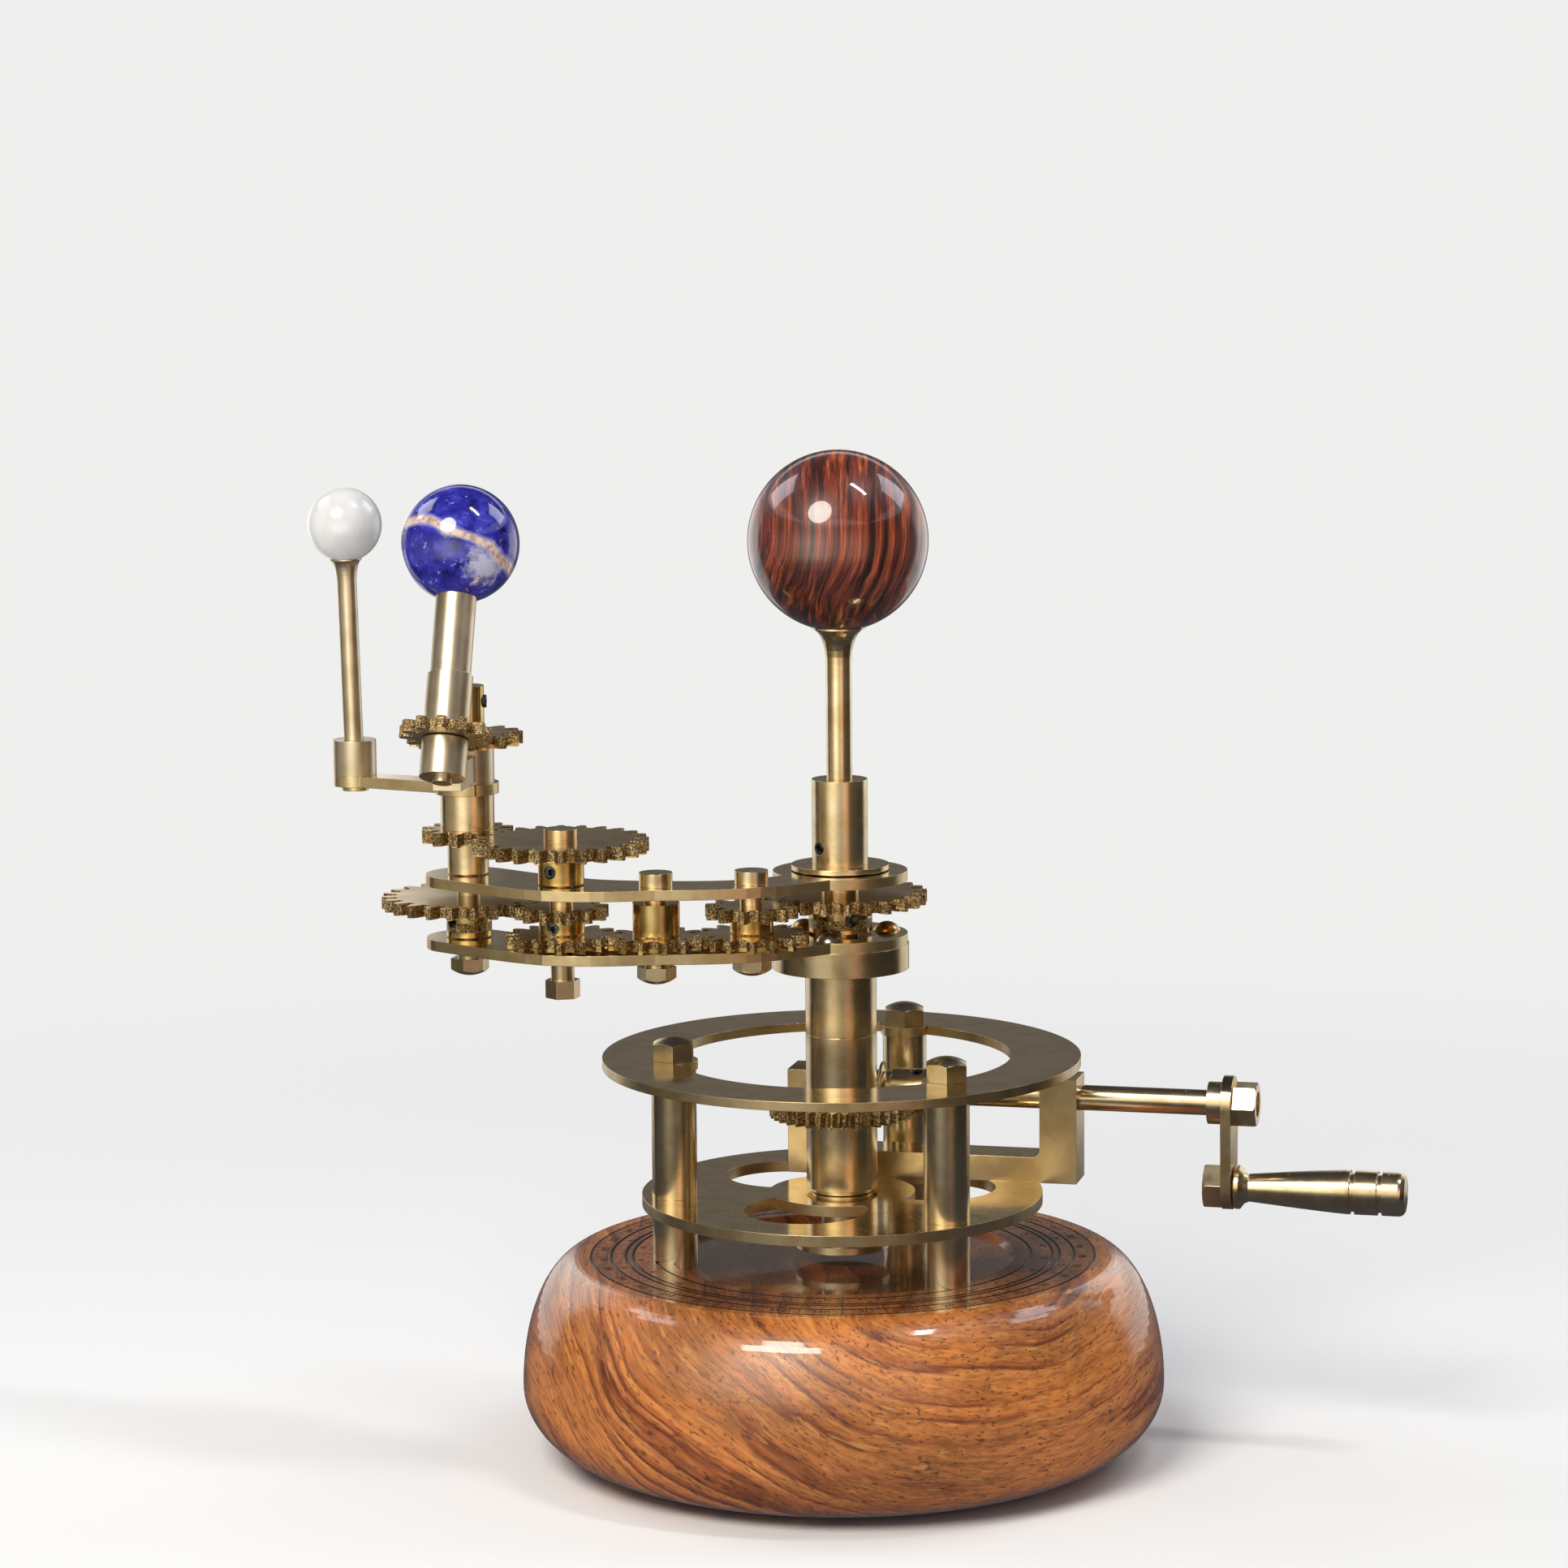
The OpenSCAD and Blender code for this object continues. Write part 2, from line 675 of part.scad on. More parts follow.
// The arm's band: its middle line runs smoothly through the shafts, and its width grows outwards
arm_points = [[1, -3.5], shaft_1, shaft_2, shaft_3, shaft_4];
arm_widths = [arm_half_narrow, arm_half_narrow, arm_half_narrow + 0.4, arm_half_w, arm_half_w];
span_steps = 8;

function arm_point(i) = arm_points[max(0, min(len(arm_points) - 1, i))];
function spline(a, b, c, d, t) =
    0.5 * ((2 * b) + (c - a) * t + (2 * a - 5 * b + 4 * c - d) * t * t
        + (3 * b - 3 * c + d - a) * t * t * t);
function middle(s) =
    let(i = min(floor(s), len(arm_points) - 2))
    spline(arm_point(i - 1), arm_point(i), arm_point(i + 1), arm_point(i + 2), s - i);
function half_width(s) =
    let(i = min(floor(s), len(arm_points) - 2))
    arm_widths[i] + (arm_widths[i + 1] - arm_widths[i]) * (s - i);
function side_point(s, side) =
    let(ahead = middle(min(s + 0.01, len(arm_points) - 1)), back = middle(max(s - 0.01, 0)),
        d = (ahead - back) / norm(ahead - back))
    middle(s) + side * half_width(s) * [-d[1], d[0]];
arm_steps = span_steps * (len(arm_points) - 1);

end_steps = 16;                                 // sides of the arm's rounded end

module arm_band() {
    end_left = side_point(arm_steps / span_steps, 1) - shaft_4;
    end_turn = atan2(end_left[1], end_left[0]);
    polygon([
        for (k = [0:arm_steps]) side_point(k / span_steps, 1),
        for (k = [1:end_steps - 1]) shaft_4 + polar(arm_half_w, end_turn - 180 * k / end_steps),
        for (k = [arm_steps:-1:0]) side_point(k / span_steps, -1)
    ]);
}

module arm_plate(z) {
    difference() {
        union() {
            rod(2 * (flange_r - 0.2), z, z + arm_t);
            translate([0, 0, z]) linear_extrude(arm_t) arm_band();
        }
        rod(post_d + 2 * run_gap, z - cut, z + arm_t + cut);
        for (p = [shaft_1, shaft_2]) at_shaft(p)
            rod(shaft_d + 2 * fit_gap, z - cut, z + arm_t + cut);
        for (p = [shaft_3, shaft_4]) at_shaft(p)
            rod(shaft_d + 2 * run_gap, z - cut, z + arm_t + cut);
    }
}

module lower_arm_plate() color(brass) difference() {
    arm_plate(low_arm_z);
    at_flange_screws()
        rod(flange_screw_d + 2 * fit_gap, low_arm_z - cut, low_arm_top + cut);
}

module upper_arm_plate() color(brass) arm_plate(up_arm_z);

module flange_screws() color(brass) at_flange_screws() {
    rod(flange_screw_d, low_arm_z - flange_screw_depth, low_arm_top + 0.3);
    dome_r = (screw_head_d * screw_head_d / 4 + screw_head_h * screw_head_h)
        / (2 * screw_head_h);
    intersection() {
        translate([0, 0, low_arm_top + screw_head_h - dome_r]) sphere(r = dome_r);
        rod(screw_head_d, low_arm_top, low_arm_top + screw_head_h);
    }
}

axle_head_d = 5.4;
axle_head_h = 2.2;
axle_2_drop = 1;                                // the second axle's nut hangs this much lower

module axle(drop) {
    rod(axle_head_d, up_arm_top, up_arm_top + axle_head_h);
    rod(shaft_d, low_arm_z - drop - nut_h + 1, up_arm_top + cut);
}

module axle_1() color(brass) at_shaft(shaft_1) axle(0);

module axle_2() color(brass) at_shaft(shaft_2) axle(axle_2_drop);

module hanging_nut(top) {
    translate([0, 0, top]) rotate([180, 0, 0])
        domed_nut(nut_af, nut_h, shaft_d + 2 * fit_gap, nut_h - 0.8);
}

module axle_nuts() color(brass) {
    at_shaft(shaft_1) hanging_nut(low_arm_z);
    at_shaft(shaft_2) hanging_nut(low_arm_z - axle_2_drop);
}

// Crank

shoulder_d = 7;
shoulder_l = 2.5;
crank_nut_af = 6.5;
crank_nut_l = 3.9;
bolt_head_af = 6.9;
lever_big_r = 4.6;
lever_small_r = 3.7;
worm_start = -thread_length / 2;
worm_end = thread_length / 2 + worm_hub_l;

module crank_shaft() color(brass) on_crank() {
    rod(crank_d, -bracket_back, lever_out + lever_t + crank_nut_l - 0.8);
    rod(shoulder_d, lever_out - shoulder_l, lever_out);
}

module crank_end_ring() color(steel) on_crank() difference() {
    rod(end_ring_d, -bracket_back, -bracket_back + end_ring_t);
    rod(crank_d + 2 * fit_gap, -bracket_back - cut, -bracket_back + end_ring_t + cut);
}

thread_steps = 18;                              // rings of the thread in each turn
thread_turns = thread_length / worm_pitch - 0.6;
core_r = worm_pitch_r - thread_bottom - 0.05;

// The thread as a swept wedge: the ring at turn t, counted from the wheel's side at zero
function thread_ring(t) =
    let(
        a = 360 * t,
        half_w = (worm_pitch - thread_play) / 4,
        root_half = half_w + (thread_bottom + 0.25) * tan(pressure),
        tip_half = half_w - thread_top * tan(pressure),
        root_r = core_r - 0.2,
        tip_r = worm_pitch_r + thread_top
    )
    [for (p = [[root_r, -root_half], [tip_r, -tip_half], [tip_r, tip_half], [root_r, root_half]])
        [p[0] * cos(a), p[0] * sin(a), worm_pitch * t + p[1]]];

module worm_thread() {
    rings = ceil(thread_turns * thread_steps / 2) * 2;
    points = [for (k = [-rings / 2:rings / 2]) each thread_ring(k / thread_steps)];
    polyhedron(points, [
        [3, 2, 1, 0],
        for (k = [0:rings - 1], i = [0:3])
            [4 * k + i, 4 * k + (i + 1) % 4, 4 * (k + 1) + (i + 1) % 4, 4 * (k + 1) + i],
        [4 * rings, 4 * rings + 1, 4 * rings + 2, 4 * rings + 3]
    ]);
}

worm_face_turn = -90;                           // turns the thread's zero towards the wheel

module worm() color(cut_brass) on_crank() difference() {
    union() {
        rod(2 * core_r, worm_start, worm_end - worm_hub_l + cut);
        rotate(worm_face_turn) worm_thread();
        rod(worm_hub_d, thread_length / 2, worm_end);
    }
    rod(crank_d + 2 * fit_gap, worm_start - cut, worm_end + cut);
    screw_hole(200, worm_end - worm_hub_l / 2, worm_hub_d);
}

module worm_grub_screw() color(steel) on_crank()
    grub_screw(200, worm_end - worm_hub_l / 2, crank_d / 2 + 0.1);

// The lever's outline, pointing down from the shaft: two eyes joined by their tangents
module lever_outline() {
    a = acos((lever_big_r - lever_small_r) / lever_l);
    circle(r = lever_big_r);
    translate([lever_l, 0]) circle(r = lever_small_r);
    polygon([
        polar(lever_big_r, a), polar(lever_big_r, -a),
        [lever_l, 0] + polar(lever_small_r, -a), [lever_l, 0] + polar(lever_small_r, a)
    ]);
}

module crank_lever() color(brass) on_crank() difference() {
    translate([0, 0, lever_out]) linear_extrude(lever_t) lever_outline();
    rod(crank_d + 2 * fit_gap, lever_out - cut, lever_out + lever_t + cut);
    translate([lever_l, 0, 0])
        rod(grip_axle_d + 2 * fit_gap, lever_out - cut, lever_out + lever_t + cut);
}

module crank_nut() color(brass) on_crank() translate([0, 0, lever_out + lever_t]) difference() {
    intersection() {
        rotate(34) hexagon(crank_nut_af, crank_nut_l);
        cylinder(r1 = crank_nut_af / 2 + crank_nut_l + 0.2, r2 = crank_nut_af / 2 + 0.2,
            h = crank_nut_l);
    }
    translate([0, 0, -cut]) cylinder(d = crank_d + 2 * fit_gap, h = crank_nut_l + 2 * cut);
}

bolt_head_l = 3.1;
grip_start = lever_out + lever_t + face_gap;
axle_in_grip = grip_l - 5;

module handle_axle() color(brass) on_lever_end() {
    intersection() {
        translate([0, 0, lever_out - bolt_head_l]) rotate(18) hexagon(bolt_head_af, bolt_head_l);
        translate([0, 0, lever_out - bolt_head_l])
            cylinder(r1 = bolt_head_af / 2, r2 = bolt_head_af / 2 + bolt_head_l, h = bolt_head_l);
    }
    rod(grip_axle_d, lever_out - cut, grip_start + axle_in_grip);
}

// The handle's outline: a flange, a waist, a long swell, two grooves and a rounded end
grip_flange_r = 3.6;
grip_waist_r = 2.3;
groove_l = 0.8;
groove_depth = 0.45;
grip_end_round = 1.1;

function swell(t) = grip_waist_r + (grip_d / 2 - grip_waist_r) * (0.75 * t + 0.25 * sin(90 * t));
module grip_profile() {
    waist = 2.4;
    swell_end = grip_l - 10;
    difference() {
        polygon([
            [0, 0], [grip_flange_r - 0.2, 0], [grip_flange_r, 0.2], [grip_flange_r, 0.9],
            [grip_waist_r + 0.4, 1.6], [grip_waist_r, waist],
            each [for (i = [1:8]) [swell(i / 8), waist + (swell_end - waist) * i / 8]],
            each [for (i = [0:4]) let(a = 90 * i / 4)
                [grip_d / 2 - grip_end_round * (1 - cos(a)),
                    grip_l - 0.3 - grip_end_round * (1 - sin(a))]],
            [0, grip_l]
        ]);
        for (y = [grip_l - 9.4, grip_l - 4.9])
            translate([grip_d / 2 - groove_depth, y]) square([1, groove_l]);
    }
}

module handle_grip() color(brass) on_lever_end() translate([0, 0, grip_start]) difference() {
    rotate_extrude() grip_profile();
    translate([0, 0, -cut]) cylinder(d = grip_axle_d + 2 * run_gap, h = axle_in_grip + 0.5);
}

// Gear train on the arm

idler_bore = shaft_d + 2 * run_gap;
fixed_bore = shaft_d + 2 * fit_gap;

module idler_1_upper_gear() color(cut_brass) at_shaft(shaft_1)
    hubbed_gear(small_teeth, idler_1_up_phase, up_gear_z, idler_bore, below = stack_hub_h,
        hub = 7);

module idler_1_lower_gear() color(cut_brass) at_shaft(shaft_1)
    hubbed_gear(low_teeth, idler_1_low_phase, low_gear_z, idler_bore);

module idler_2_gear() color(cut_brass) at_shaft(shaft_2)
    hubbed_gear(second_teeth, idler_2_phase, low_gear_z, idler_bore,
        above = up_arm_z - 1 - low_gear_z - gear_t, hub = 7.6);

lay_cap_h = 1.6;
lay_nut_af = 4.9;
lay_nut_drop = 3.4;                             // from the arm plate down to the layshaft's nut

module layshaft() color(brass) at_shaft(shaft_3) {
    rod(shaft_d, low_arm_z - lay_nut_drop - nut_h + 0.8, moon_sleeve_z + cut);
    rod(axle_head_d, moon_sleeve_z, moon_sleeve_z + lay_cap_h);
}

module layshaft_nut() color(brass) at_shaft(shaft_3)
    translate([0, 0, low_arm_z - lay_nut_drop - nut_h]) difference() {
        rotate(12) hexagon(lay_nut_af, nut_h);
        translate([0, 0, 0.5]) cylinder(d = fixed_bore, h = nut_h);
    }

lay_low_screw = [250, up_gear_z - stack_hub_h / 2];
lay_top_screw = [243, top_hub_z + 2.2];

module layshaft_lower_gear() color(cut_brass) at_shaft(shaft_3) difference() {
    hubbed_gear(low_teeth, lay_low_phase, low_gear_z, fixed_bore, above = stack_hub_h - 0.01);
    screw_hole(lay_low_screw[0], lay_low_screw[1], hub_d);
}

module layshaft_middle_gear() color(cut_brass) at_shaft(shaft_3)
    hubbed_gear(small_teeth, lay_mid_phase, up_gear_z, fixed_bore);

module layshaft_top_gear() color(cut_brass) at_shaft(shaft_3) difference() {
    hubbed_gear(top_teeth, lay_top_phase, top_gear_z, fixed_bore, below = top_gear_z - top_hub_z,
        t = high_gear_t);
    screw_hole(lay_top_screw[0], lay_top_screw[1], hub_d);
}

module layshaft_grub_screws() color(steel) at_shaft(shaft_3)
    for (s = [lay_low_screw, lay_top_screw]) grub_screw(s[0], s[1], shaft_d / 2 + 0.1);

spin_nut_drop = 1.8;
spin_hub_d = 6;
spin_low_screw = [223, up_gear_z - 2];
spin_top_screw = [0, spin_hub_top - 2.6];

module spin_shaft() color(brass) at_shaft(shaft_4)
    rod(shaft_d, low_arm_z - spin_nut_drop - nut_h + 1, spin_hub_top - 0.4);

module spin_shaft_gear() color(cut_brass) at_shaft(shaft_4) difference() {
    hubbed_gear(fixed_teeth, spin_phase, up_gear_z, fixed_bore,
        below = up_gear_z - low_arm_top - face_gap);
    screw_hole(spin_low_screw[0], spin_low_screw[1], hub_d);
}

module spin_shaft_nut() color(brass) at_shaft(shaft_4) rotate(15)
    hanging_nut(low_arm_z - spin_nut_drop);

module spin_drive_gear() color(cut_brass) at_shaft(shaft_4) difference() {
    hubbed_gear(spin_teeth, spin_drive_phase, spin_gear_z, fixed_bore,
        above = spin_hub_top - spin_gear_z - gear_t, hub = spin_hub_d);
    screw_hole(spin_top_screw[0], spin_top_screw[1], spin_hub_d);
}

module spin_shaft_grub_screws() color(steel) at_shaft(shaft_4)
    for (s = [spin_low_screw, spin_top_screw]) grub_screw(s[0], s[1], shaft_d / 2 + 0.1);

// Moon and earth

moon_tube_d = 6.7;
moon_sleeve_d = 8.8;

module moon_tube() color(brass) at_shaft(shaft_4) difference() {
    union() {
        rod(moon_tube_d, top_hub_z, carrier_z + carrier_h);
        rod(moon_sleeve_d, moon_sleeve_z, moon_arm_z);
    }
    rod(shaft_d + 2 * run_gap, top_hub_z - cut, carrier_z + carrier_h + cut);
}

module moon_pinion() color(cut_brass) at_shaft(shaft_4)
    hubbed_gear(moon_teeth, moon_phase, top_gear_z, moon_tube_d + 2 * fit_gap, t = high_gear_t);

moon_ring_d = 10.4;
moon_slit_turn = 290;                           // direction of the slit in the arm's ring
moon_bar_w = 5;
moon_collar_d = 7.1;
moon_collar_h = 5.8;
moon_stem_d = 3.2;
moon_screw = [178 - moon_turn, 2.9];

module moon_arm() color(brass) at_shaft(shaft_4) rotate(moon_turn)
    translate([0, 0, moon_arm_z]) difference() {
        union() {
            cylinder(d = moon_ring_d, h = moon_arm_t);
            translate([0, -moon_bar_w / 2, 0]) cube([moon_reach, moon_bar_w, moon_arm_t]);
            translate([moon_reach, 0, 0]) cylinder(d = moon_collar_d, h = moon_arm_t);
            translate([moon_reach, 0, -0.8]) cylinder(d = 4.4, h = 1);
        }
        translate([0, 0, -cut]) cylinder(d = moon_tube_d + 2 * fit_gap, h = moon_arm_t + 2 * cut);
        rotate(moon_slit_turn - moon_turn) translate([moon_tube_d / 2 - cut, -0.12, -cut])
            cube([moon_ring_d, 0.24, moon_arm_t + 2 * cut]);
    }

module moon_collar() color(brass) on_moon_arm() difference() {
    cylinder(d = moon_collar_d, h = moon_collar_h);
    rotate([0, moon_lean, 0])
        translate([0, 0, 0.3]) cylinder(d = moon_stem_d + 2 * fit_gap, h = moon_collar_h + 1);
    screw_hole(moon_screw[0], moon_screw[1], moon_collar_d);
}

module moon_grub_screw() color(steel) on_moon_arm()
    grub_screw(moon_screw[0], moon_screw[1], moon_stem_d / 2 + 0.3);

module moon_stem() color(brass) on_moon_stem()
    flared_stem(moon_stem_d, 0.5, moon_rise, moon_r + fit_gap, 2.6, 4);

module moon_ball() color("#f2f1ee") on_moon_stem() translate([0, 0, moon_rise])
    studded_ball(moon_r);

bush_d = 7.5;
bush_top = -gear_t / 2 - face_gap;              // along the tilted axis
bush_bottom = bush_top - 6.2;
carrier_d = 9;
strut_w = 4.6;

module tilt_carrier() color(brass) difference() {
    union() {
        at_shaft(shaft_4) rod(carrier_d, carrier_z, carrier_z + carrier_h);
        at_shaft(shaft_4) rotate(earth_turn)
            translate([carrier_d / 2 - 1, -strut_w / 2, carrier_z + 0.5])
                cube([earth_out + 1 - carrier_d / 2, strut_w, carrier_h - 1.7]);
        on_earth_axis() rod(bush_d, bush_bottom, bush_top);
    }
    at_shaft(shaft_4) rod(moon_tube_d + 2 * fit_gap, carrier_z - cut, carrier_z + carrier_h + cut);
    on_earth_axis() rod(spindle_d + 2 * run_gap, bush_bottom - 5, bush_top + 1);
}

earth_hub_top = gear_t / 2 + 8.6;
earth_stem_d = 6.6;

module earth_spindle() color(brass) on_earth_axis() {
    rod(spindle_d, bush_bottom - 0.9, earth_hub_top + 1);
    difference() {
        rod(earth_stem_d, earth_hub_top, earth_reach - earth_r + 1.5);
        translate([0, 0, earth_reach]) sphere(r = earth_r + fit_gap);
    }
    rod(stud_d, earth_hub_top, earth_reach - earth_r + stud_l);
}

module earth_gear() color(cut_brass) on_earth_axis()
    translate([0, 0, -gear_t / 2]) hubbed_gear(earth_teeth, earth_phase, 0,
        spindle_d + 2 * fit_gap, above = earth_hub_top - gear_t / 2, hub = hub_d, top = 0.75);

module earth_ball() color("#2c3a8c") on_earth_axis() translate([0, 0, earth_reach])
    studded_ball(earth_r);

wood_base();
base_nuts();
tie_rods();
pillar_feet();
pillars();
cap_nuts();
lower_plate();
ring_plate();
crank_bracket();
post_flange();
sun_post();
fixed_gear();
post_washer();
sun_collar();
sun_stem();
sun_ball();
frame_grub_screws();
column_tube();
column_bushes();
worm_wheel();
arm_flange();
lower_arm_plate();
upper_arm_plate();
flange_screws();
axle_1();
axle_2();
axle_nuts();
crank_shaft();
crank_end_ring();
worm();
worm_grub_screw();
crank_lever();
crank_nut();
handle_axle();
handle_grip();
idler_1_upper_gear();
idler_1_lower_gear();
idler_2_gear();
layshaft();
layshaft_nut();
layshaft_lower_gear();
layshaft_middle_gear();
layshaft_top_gear();
layshaft_grub_screws();
spin_shaft();
spin_shaft_gear();
spin_shaft_nut();
spin_drive_gear();
spin_shaft_grub_screws();
moon_tube();
moon_pinion();
moon_arm();
moon_collar();
moon_grub_screw();
moon_stem();
moon_ball();
tilt_carrier();
earth_spindle();
earth_gear();
earth_ball();
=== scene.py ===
# %% [markdown]
# # A hand-cranked orrery in brass, wood and stone
# The CAD model gives every piece its shape, its place and its way of moving. This lesson gives
# them their looks: buffed and saw-cut brass, lacquered wood, stone balls, an engraved dial, a
# studio and a camera. We start by loading the frame and measuring it.

# %% Load the frame
import json
import math

import bpy
from mathutils import Matrix, Vector


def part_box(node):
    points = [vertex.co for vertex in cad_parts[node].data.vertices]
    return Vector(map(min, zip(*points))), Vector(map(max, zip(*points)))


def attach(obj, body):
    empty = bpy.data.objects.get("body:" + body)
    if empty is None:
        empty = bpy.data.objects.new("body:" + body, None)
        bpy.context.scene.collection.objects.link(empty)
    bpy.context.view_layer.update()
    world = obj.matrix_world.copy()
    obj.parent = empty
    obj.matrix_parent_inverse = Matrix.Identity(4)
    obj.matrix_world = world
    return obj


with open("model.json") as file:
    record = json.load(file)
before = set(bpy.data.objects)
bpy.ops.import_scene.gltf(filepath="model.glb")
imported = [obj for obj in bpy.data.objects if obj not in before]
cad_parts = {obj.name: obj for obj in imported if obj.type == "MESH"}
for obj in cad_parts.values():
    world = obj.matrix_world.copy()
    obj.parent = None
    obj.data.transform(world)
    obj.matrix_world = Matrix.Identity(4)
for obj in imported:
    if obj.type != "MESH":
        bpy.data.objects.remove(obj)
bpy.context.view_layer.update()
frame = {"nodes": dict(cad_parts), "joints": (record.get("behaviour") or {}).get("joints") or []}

nodes = frame["nodes"]
MM = 0.001

# %% [markdown]
# ## Colours and nodes
# A colour picked from a photograph is an sRGB value, and Blender's nodes want linear light. One
# function does the change. A second one adds any shader node with its settings and its links, so
# that each material below reads like a recipe: noises, ramps and sums, one line each.


# %% Two small helpers
def linear(hex_colour):
    """The linear RGBA of an sRGB colour such as #c9a557."""
    parts = [int(hex_colour[i:i + 2], 16) / 255 for i in (1, 3, 5)]
    return [c / 12.92 if c < 0.04045 else ((c + 0.055) / 1.055) ** 2.4 for c in parts] + [1]


def add(tree, kind, *values, out=0, stops=None, smooth=True, **settings):
    """Adds a node and gives back one of its outputs, or the node itself where out is None.

    values go to the inputs in order, and a dict of them goes by name or number. Each is an output
    to link, a hex colour or plain numbers. stops are the places and colours of a color ramp,
    which runs smoothly from one to the next or goes in hard steps.
    """
    node = tree.nodes.new("ShaderNode" + kind)
    for name, value in settings.items():
        setattr(node, name, value)
    wanted = {}
    for place, value in enumerate(values):
        wanted.update(value if isinstance(value, dict) else {place: value})
    for key, value in wanted.items():
        if isinstance(value, bpy.types.NodeSocket):
            tree.links.new(value, node.inputs[key])
        else:
            node.inputs[key].default_value = linear(value) if isinstance(value, str) else value
    if stops:
        points = node.color_ramp.elements
        while len(points) < len(stops):
            points.new(0.5)
        for point, (place, colour) in zip(points, stops):
            point.position, point.color = place, linear(colour)
        node.color_ramp.interpolation = "EASE" if smooth else "CONSTANT"
    return node if out is None else node.outputs[out]


print("brass in linear light:", [round(c, 3) for c in linear("#c9a557")])

# %% [markdown]
# A material starts with the same few lines each time: an empty tree and the object's own
# coordinates in millimetres. Object coordinates stay with a piece when a joint turns it, so no
# pattern ever swims over a moving gear. It ends with a Principled BSDF at the output. The scale of
# a noise is then given in blobs per millimetre.


# %% Start and end of every material
def empty(name):
    """A new material and its empty node tree."""
    material = bpy.data.materials.new(name)
    material.use_nodes = True
    material.node_tree.nodes.clear()
    return material, material.node_tree


def start(name):
    """A new material, its node tree and the place of each point in millimetres."""
    material, tree = empty(name)
    metres = add(tree, "TexCoord", out="Object")
    return material, tree, add(tree, "VectorMath", metres, (1 / MM,) * 3, operation="MULTIPLY")


def surface(material, tree, sockets):
    """Ends a material with what its Principled BSDF is fed."""
    shader = add(tree, "BsdfPrincipled", sockets)
    add(tree, "OutputMaterial", {"Surface": shader}, out=None)
    print("made", material.name, "with", len(tree.nodes), "nodes")
    return material


print("one metre of object coordinates is", round(1 / MM), "mm")

# %% [markdown]
# ## Three finishes of brass
# The round pieces are turned on a lathe and buffed, the plates are cut from rolled sheet and
# polished on a wheel, and the small fittings round the earth are paler and only satin. Brass is a
# metal, so its colour lives in its reflections: Metallic is 1, the base colour is a warm straw,
# and what tells the finishes apart is how far each blurs its mirror image. Fingers and cloths
# leave faint clouds a few millimetres wide, and buffing leaves hair scratches about 0.05 mm wide,
# drawn here at 0.15 mm because finer ones would not show. A bevel node rolls the normal over sharp
# edges, as the wheel does. Specks of dust settle on faces that look up.


# %% Brass, turned, rolled and satin
def brass(name, colour, dark, roughness, hair_stretch, filed=0.0):
    """hair_stretch tells along which axes scratches are short, filed roughens upright faces."""
    material, tree, mm = start(name)
    clouds = add(tree, "TexNoise", {"Vector": mm, "Scale": 0.25, "Detail": 4})
    tone = add(tree, "ValToRGB", clouds, stops=[(0.3, dark), (0.62, colour)])
    smudge = add(tree, "TexNoise", {"Vector": mm, "Scale": 0.6, "Detail": 5, "Roughness": 0.6})
    rough = add(tree, "Math", smudge, 0.16, roughness - 0.08, operation="MULTIPLY_ADD")
    facing = add(tree, "SeparateXYZ", add(tree, "TexCoord", out="Normal"), out="Z")
    slope = add(tree, "Math", facing, operation="ABSOLUTE")
    upright = add(tree, "Math", slope, 0.5, operation="LESS_THAN")
    rough = add(tree, "Math", upright, filed, rough, operation="MULTIPLY_ADD")
    upward = add(tree, "Math", facing, 0.9, operation="GREATER_THAN")
    blobs = add(tree, "TexNoise", {"Vector": mm, "Scale": 2.6, "Detail": 1})
    specks = add(tree, "Math", blobs, 0.74, operation="GREATER_THAN")
    dust = add(tree, "Math", upward, specks, operation="MULTIPLY")
    rough = add(tree, "Math", dust, 0.45, rough, operation="MULTIPLY_ADD", use_clamp=True)
    stretched = add(tree, "VectorMath", mm, hair_stretch, operation="MULTIPLY")
    hairs = add(tree, "TexNoise", {"Vector": stretched, "Scale": 0.7, "Detail": 6, "Roughness": 0.7})
    edge = add(tree, "Bevel", {"Radius": 0.12 * MM}, samples=6)
    scratched = add(tree, "Bump", {"Height": hairs, "Distance": 0.004 * MM, "Strength": 0.5,
                                   "Normal": edge})
    return surface(material, tree, {"Metallic": 1, "Base Color": tone, "Roughness": rough,
                                    "Normal": scratched})


# Rings of fine tool marks round upright pieces soften the streaks on posts and tubes.
turned_brass = brass("brass_turned_buffed", "#dccaa6", "#ceb78c", 0.24, (1, 1, 9))
# A sharper mirror with scratches that run one way, and edges left by the file, which blur.
sheet_brass = brass("brass_sheet_polished", "#dcc79c", "#cbb384", 0.13, (1, 7, 1), filed=0.2)
# Pale and broad in its highlights, like brass with a thin tin wash.
satin_brass = brass("brass_satin_pale", "#d9cab0", "#cbbb9c", 0.36, (3, 3, 3))

# %% [markdown]
# ## Saw-cut gear teeth
# The gears are cut from the same brass, and their flat faces and hubs are buffed, but the cutter
# leaves the flanks of the teeth rough, brown and grainy. One material can do both, if it knows
# where the teeth are. Teeth look sideways, so the Z part of the normal is small there, and they
# lie in thin slices of height, which we read from the pieces themselves. A color ramp with hard
# steps over the height marks those slices.

# %% Heights of the gears
# Gears are 2 mm thick, and the ramp over the height runs from 0 to 200 mm, above the sun.
gear_t = 2.0
tallest = 200.0


def level(name):
    """The lowest and highest millimetre of a node."""
    low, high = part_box(name)
    return low.z / MM, high.z / MM


slices = [
    level("worm_wheel"),
    level("idler_1_lower_gear"),
    (level("fixed_gear")[1] - gear_t, level("fixed_gear")[1]),
    level("moon_pinion"),
    (level("spin_drive_gear")[0], level("spin_drive_gear")[0] + gear_t),
]
print("slices that hold teeth, in mm:", [[round(v, 2) for v in s] for s in slices])
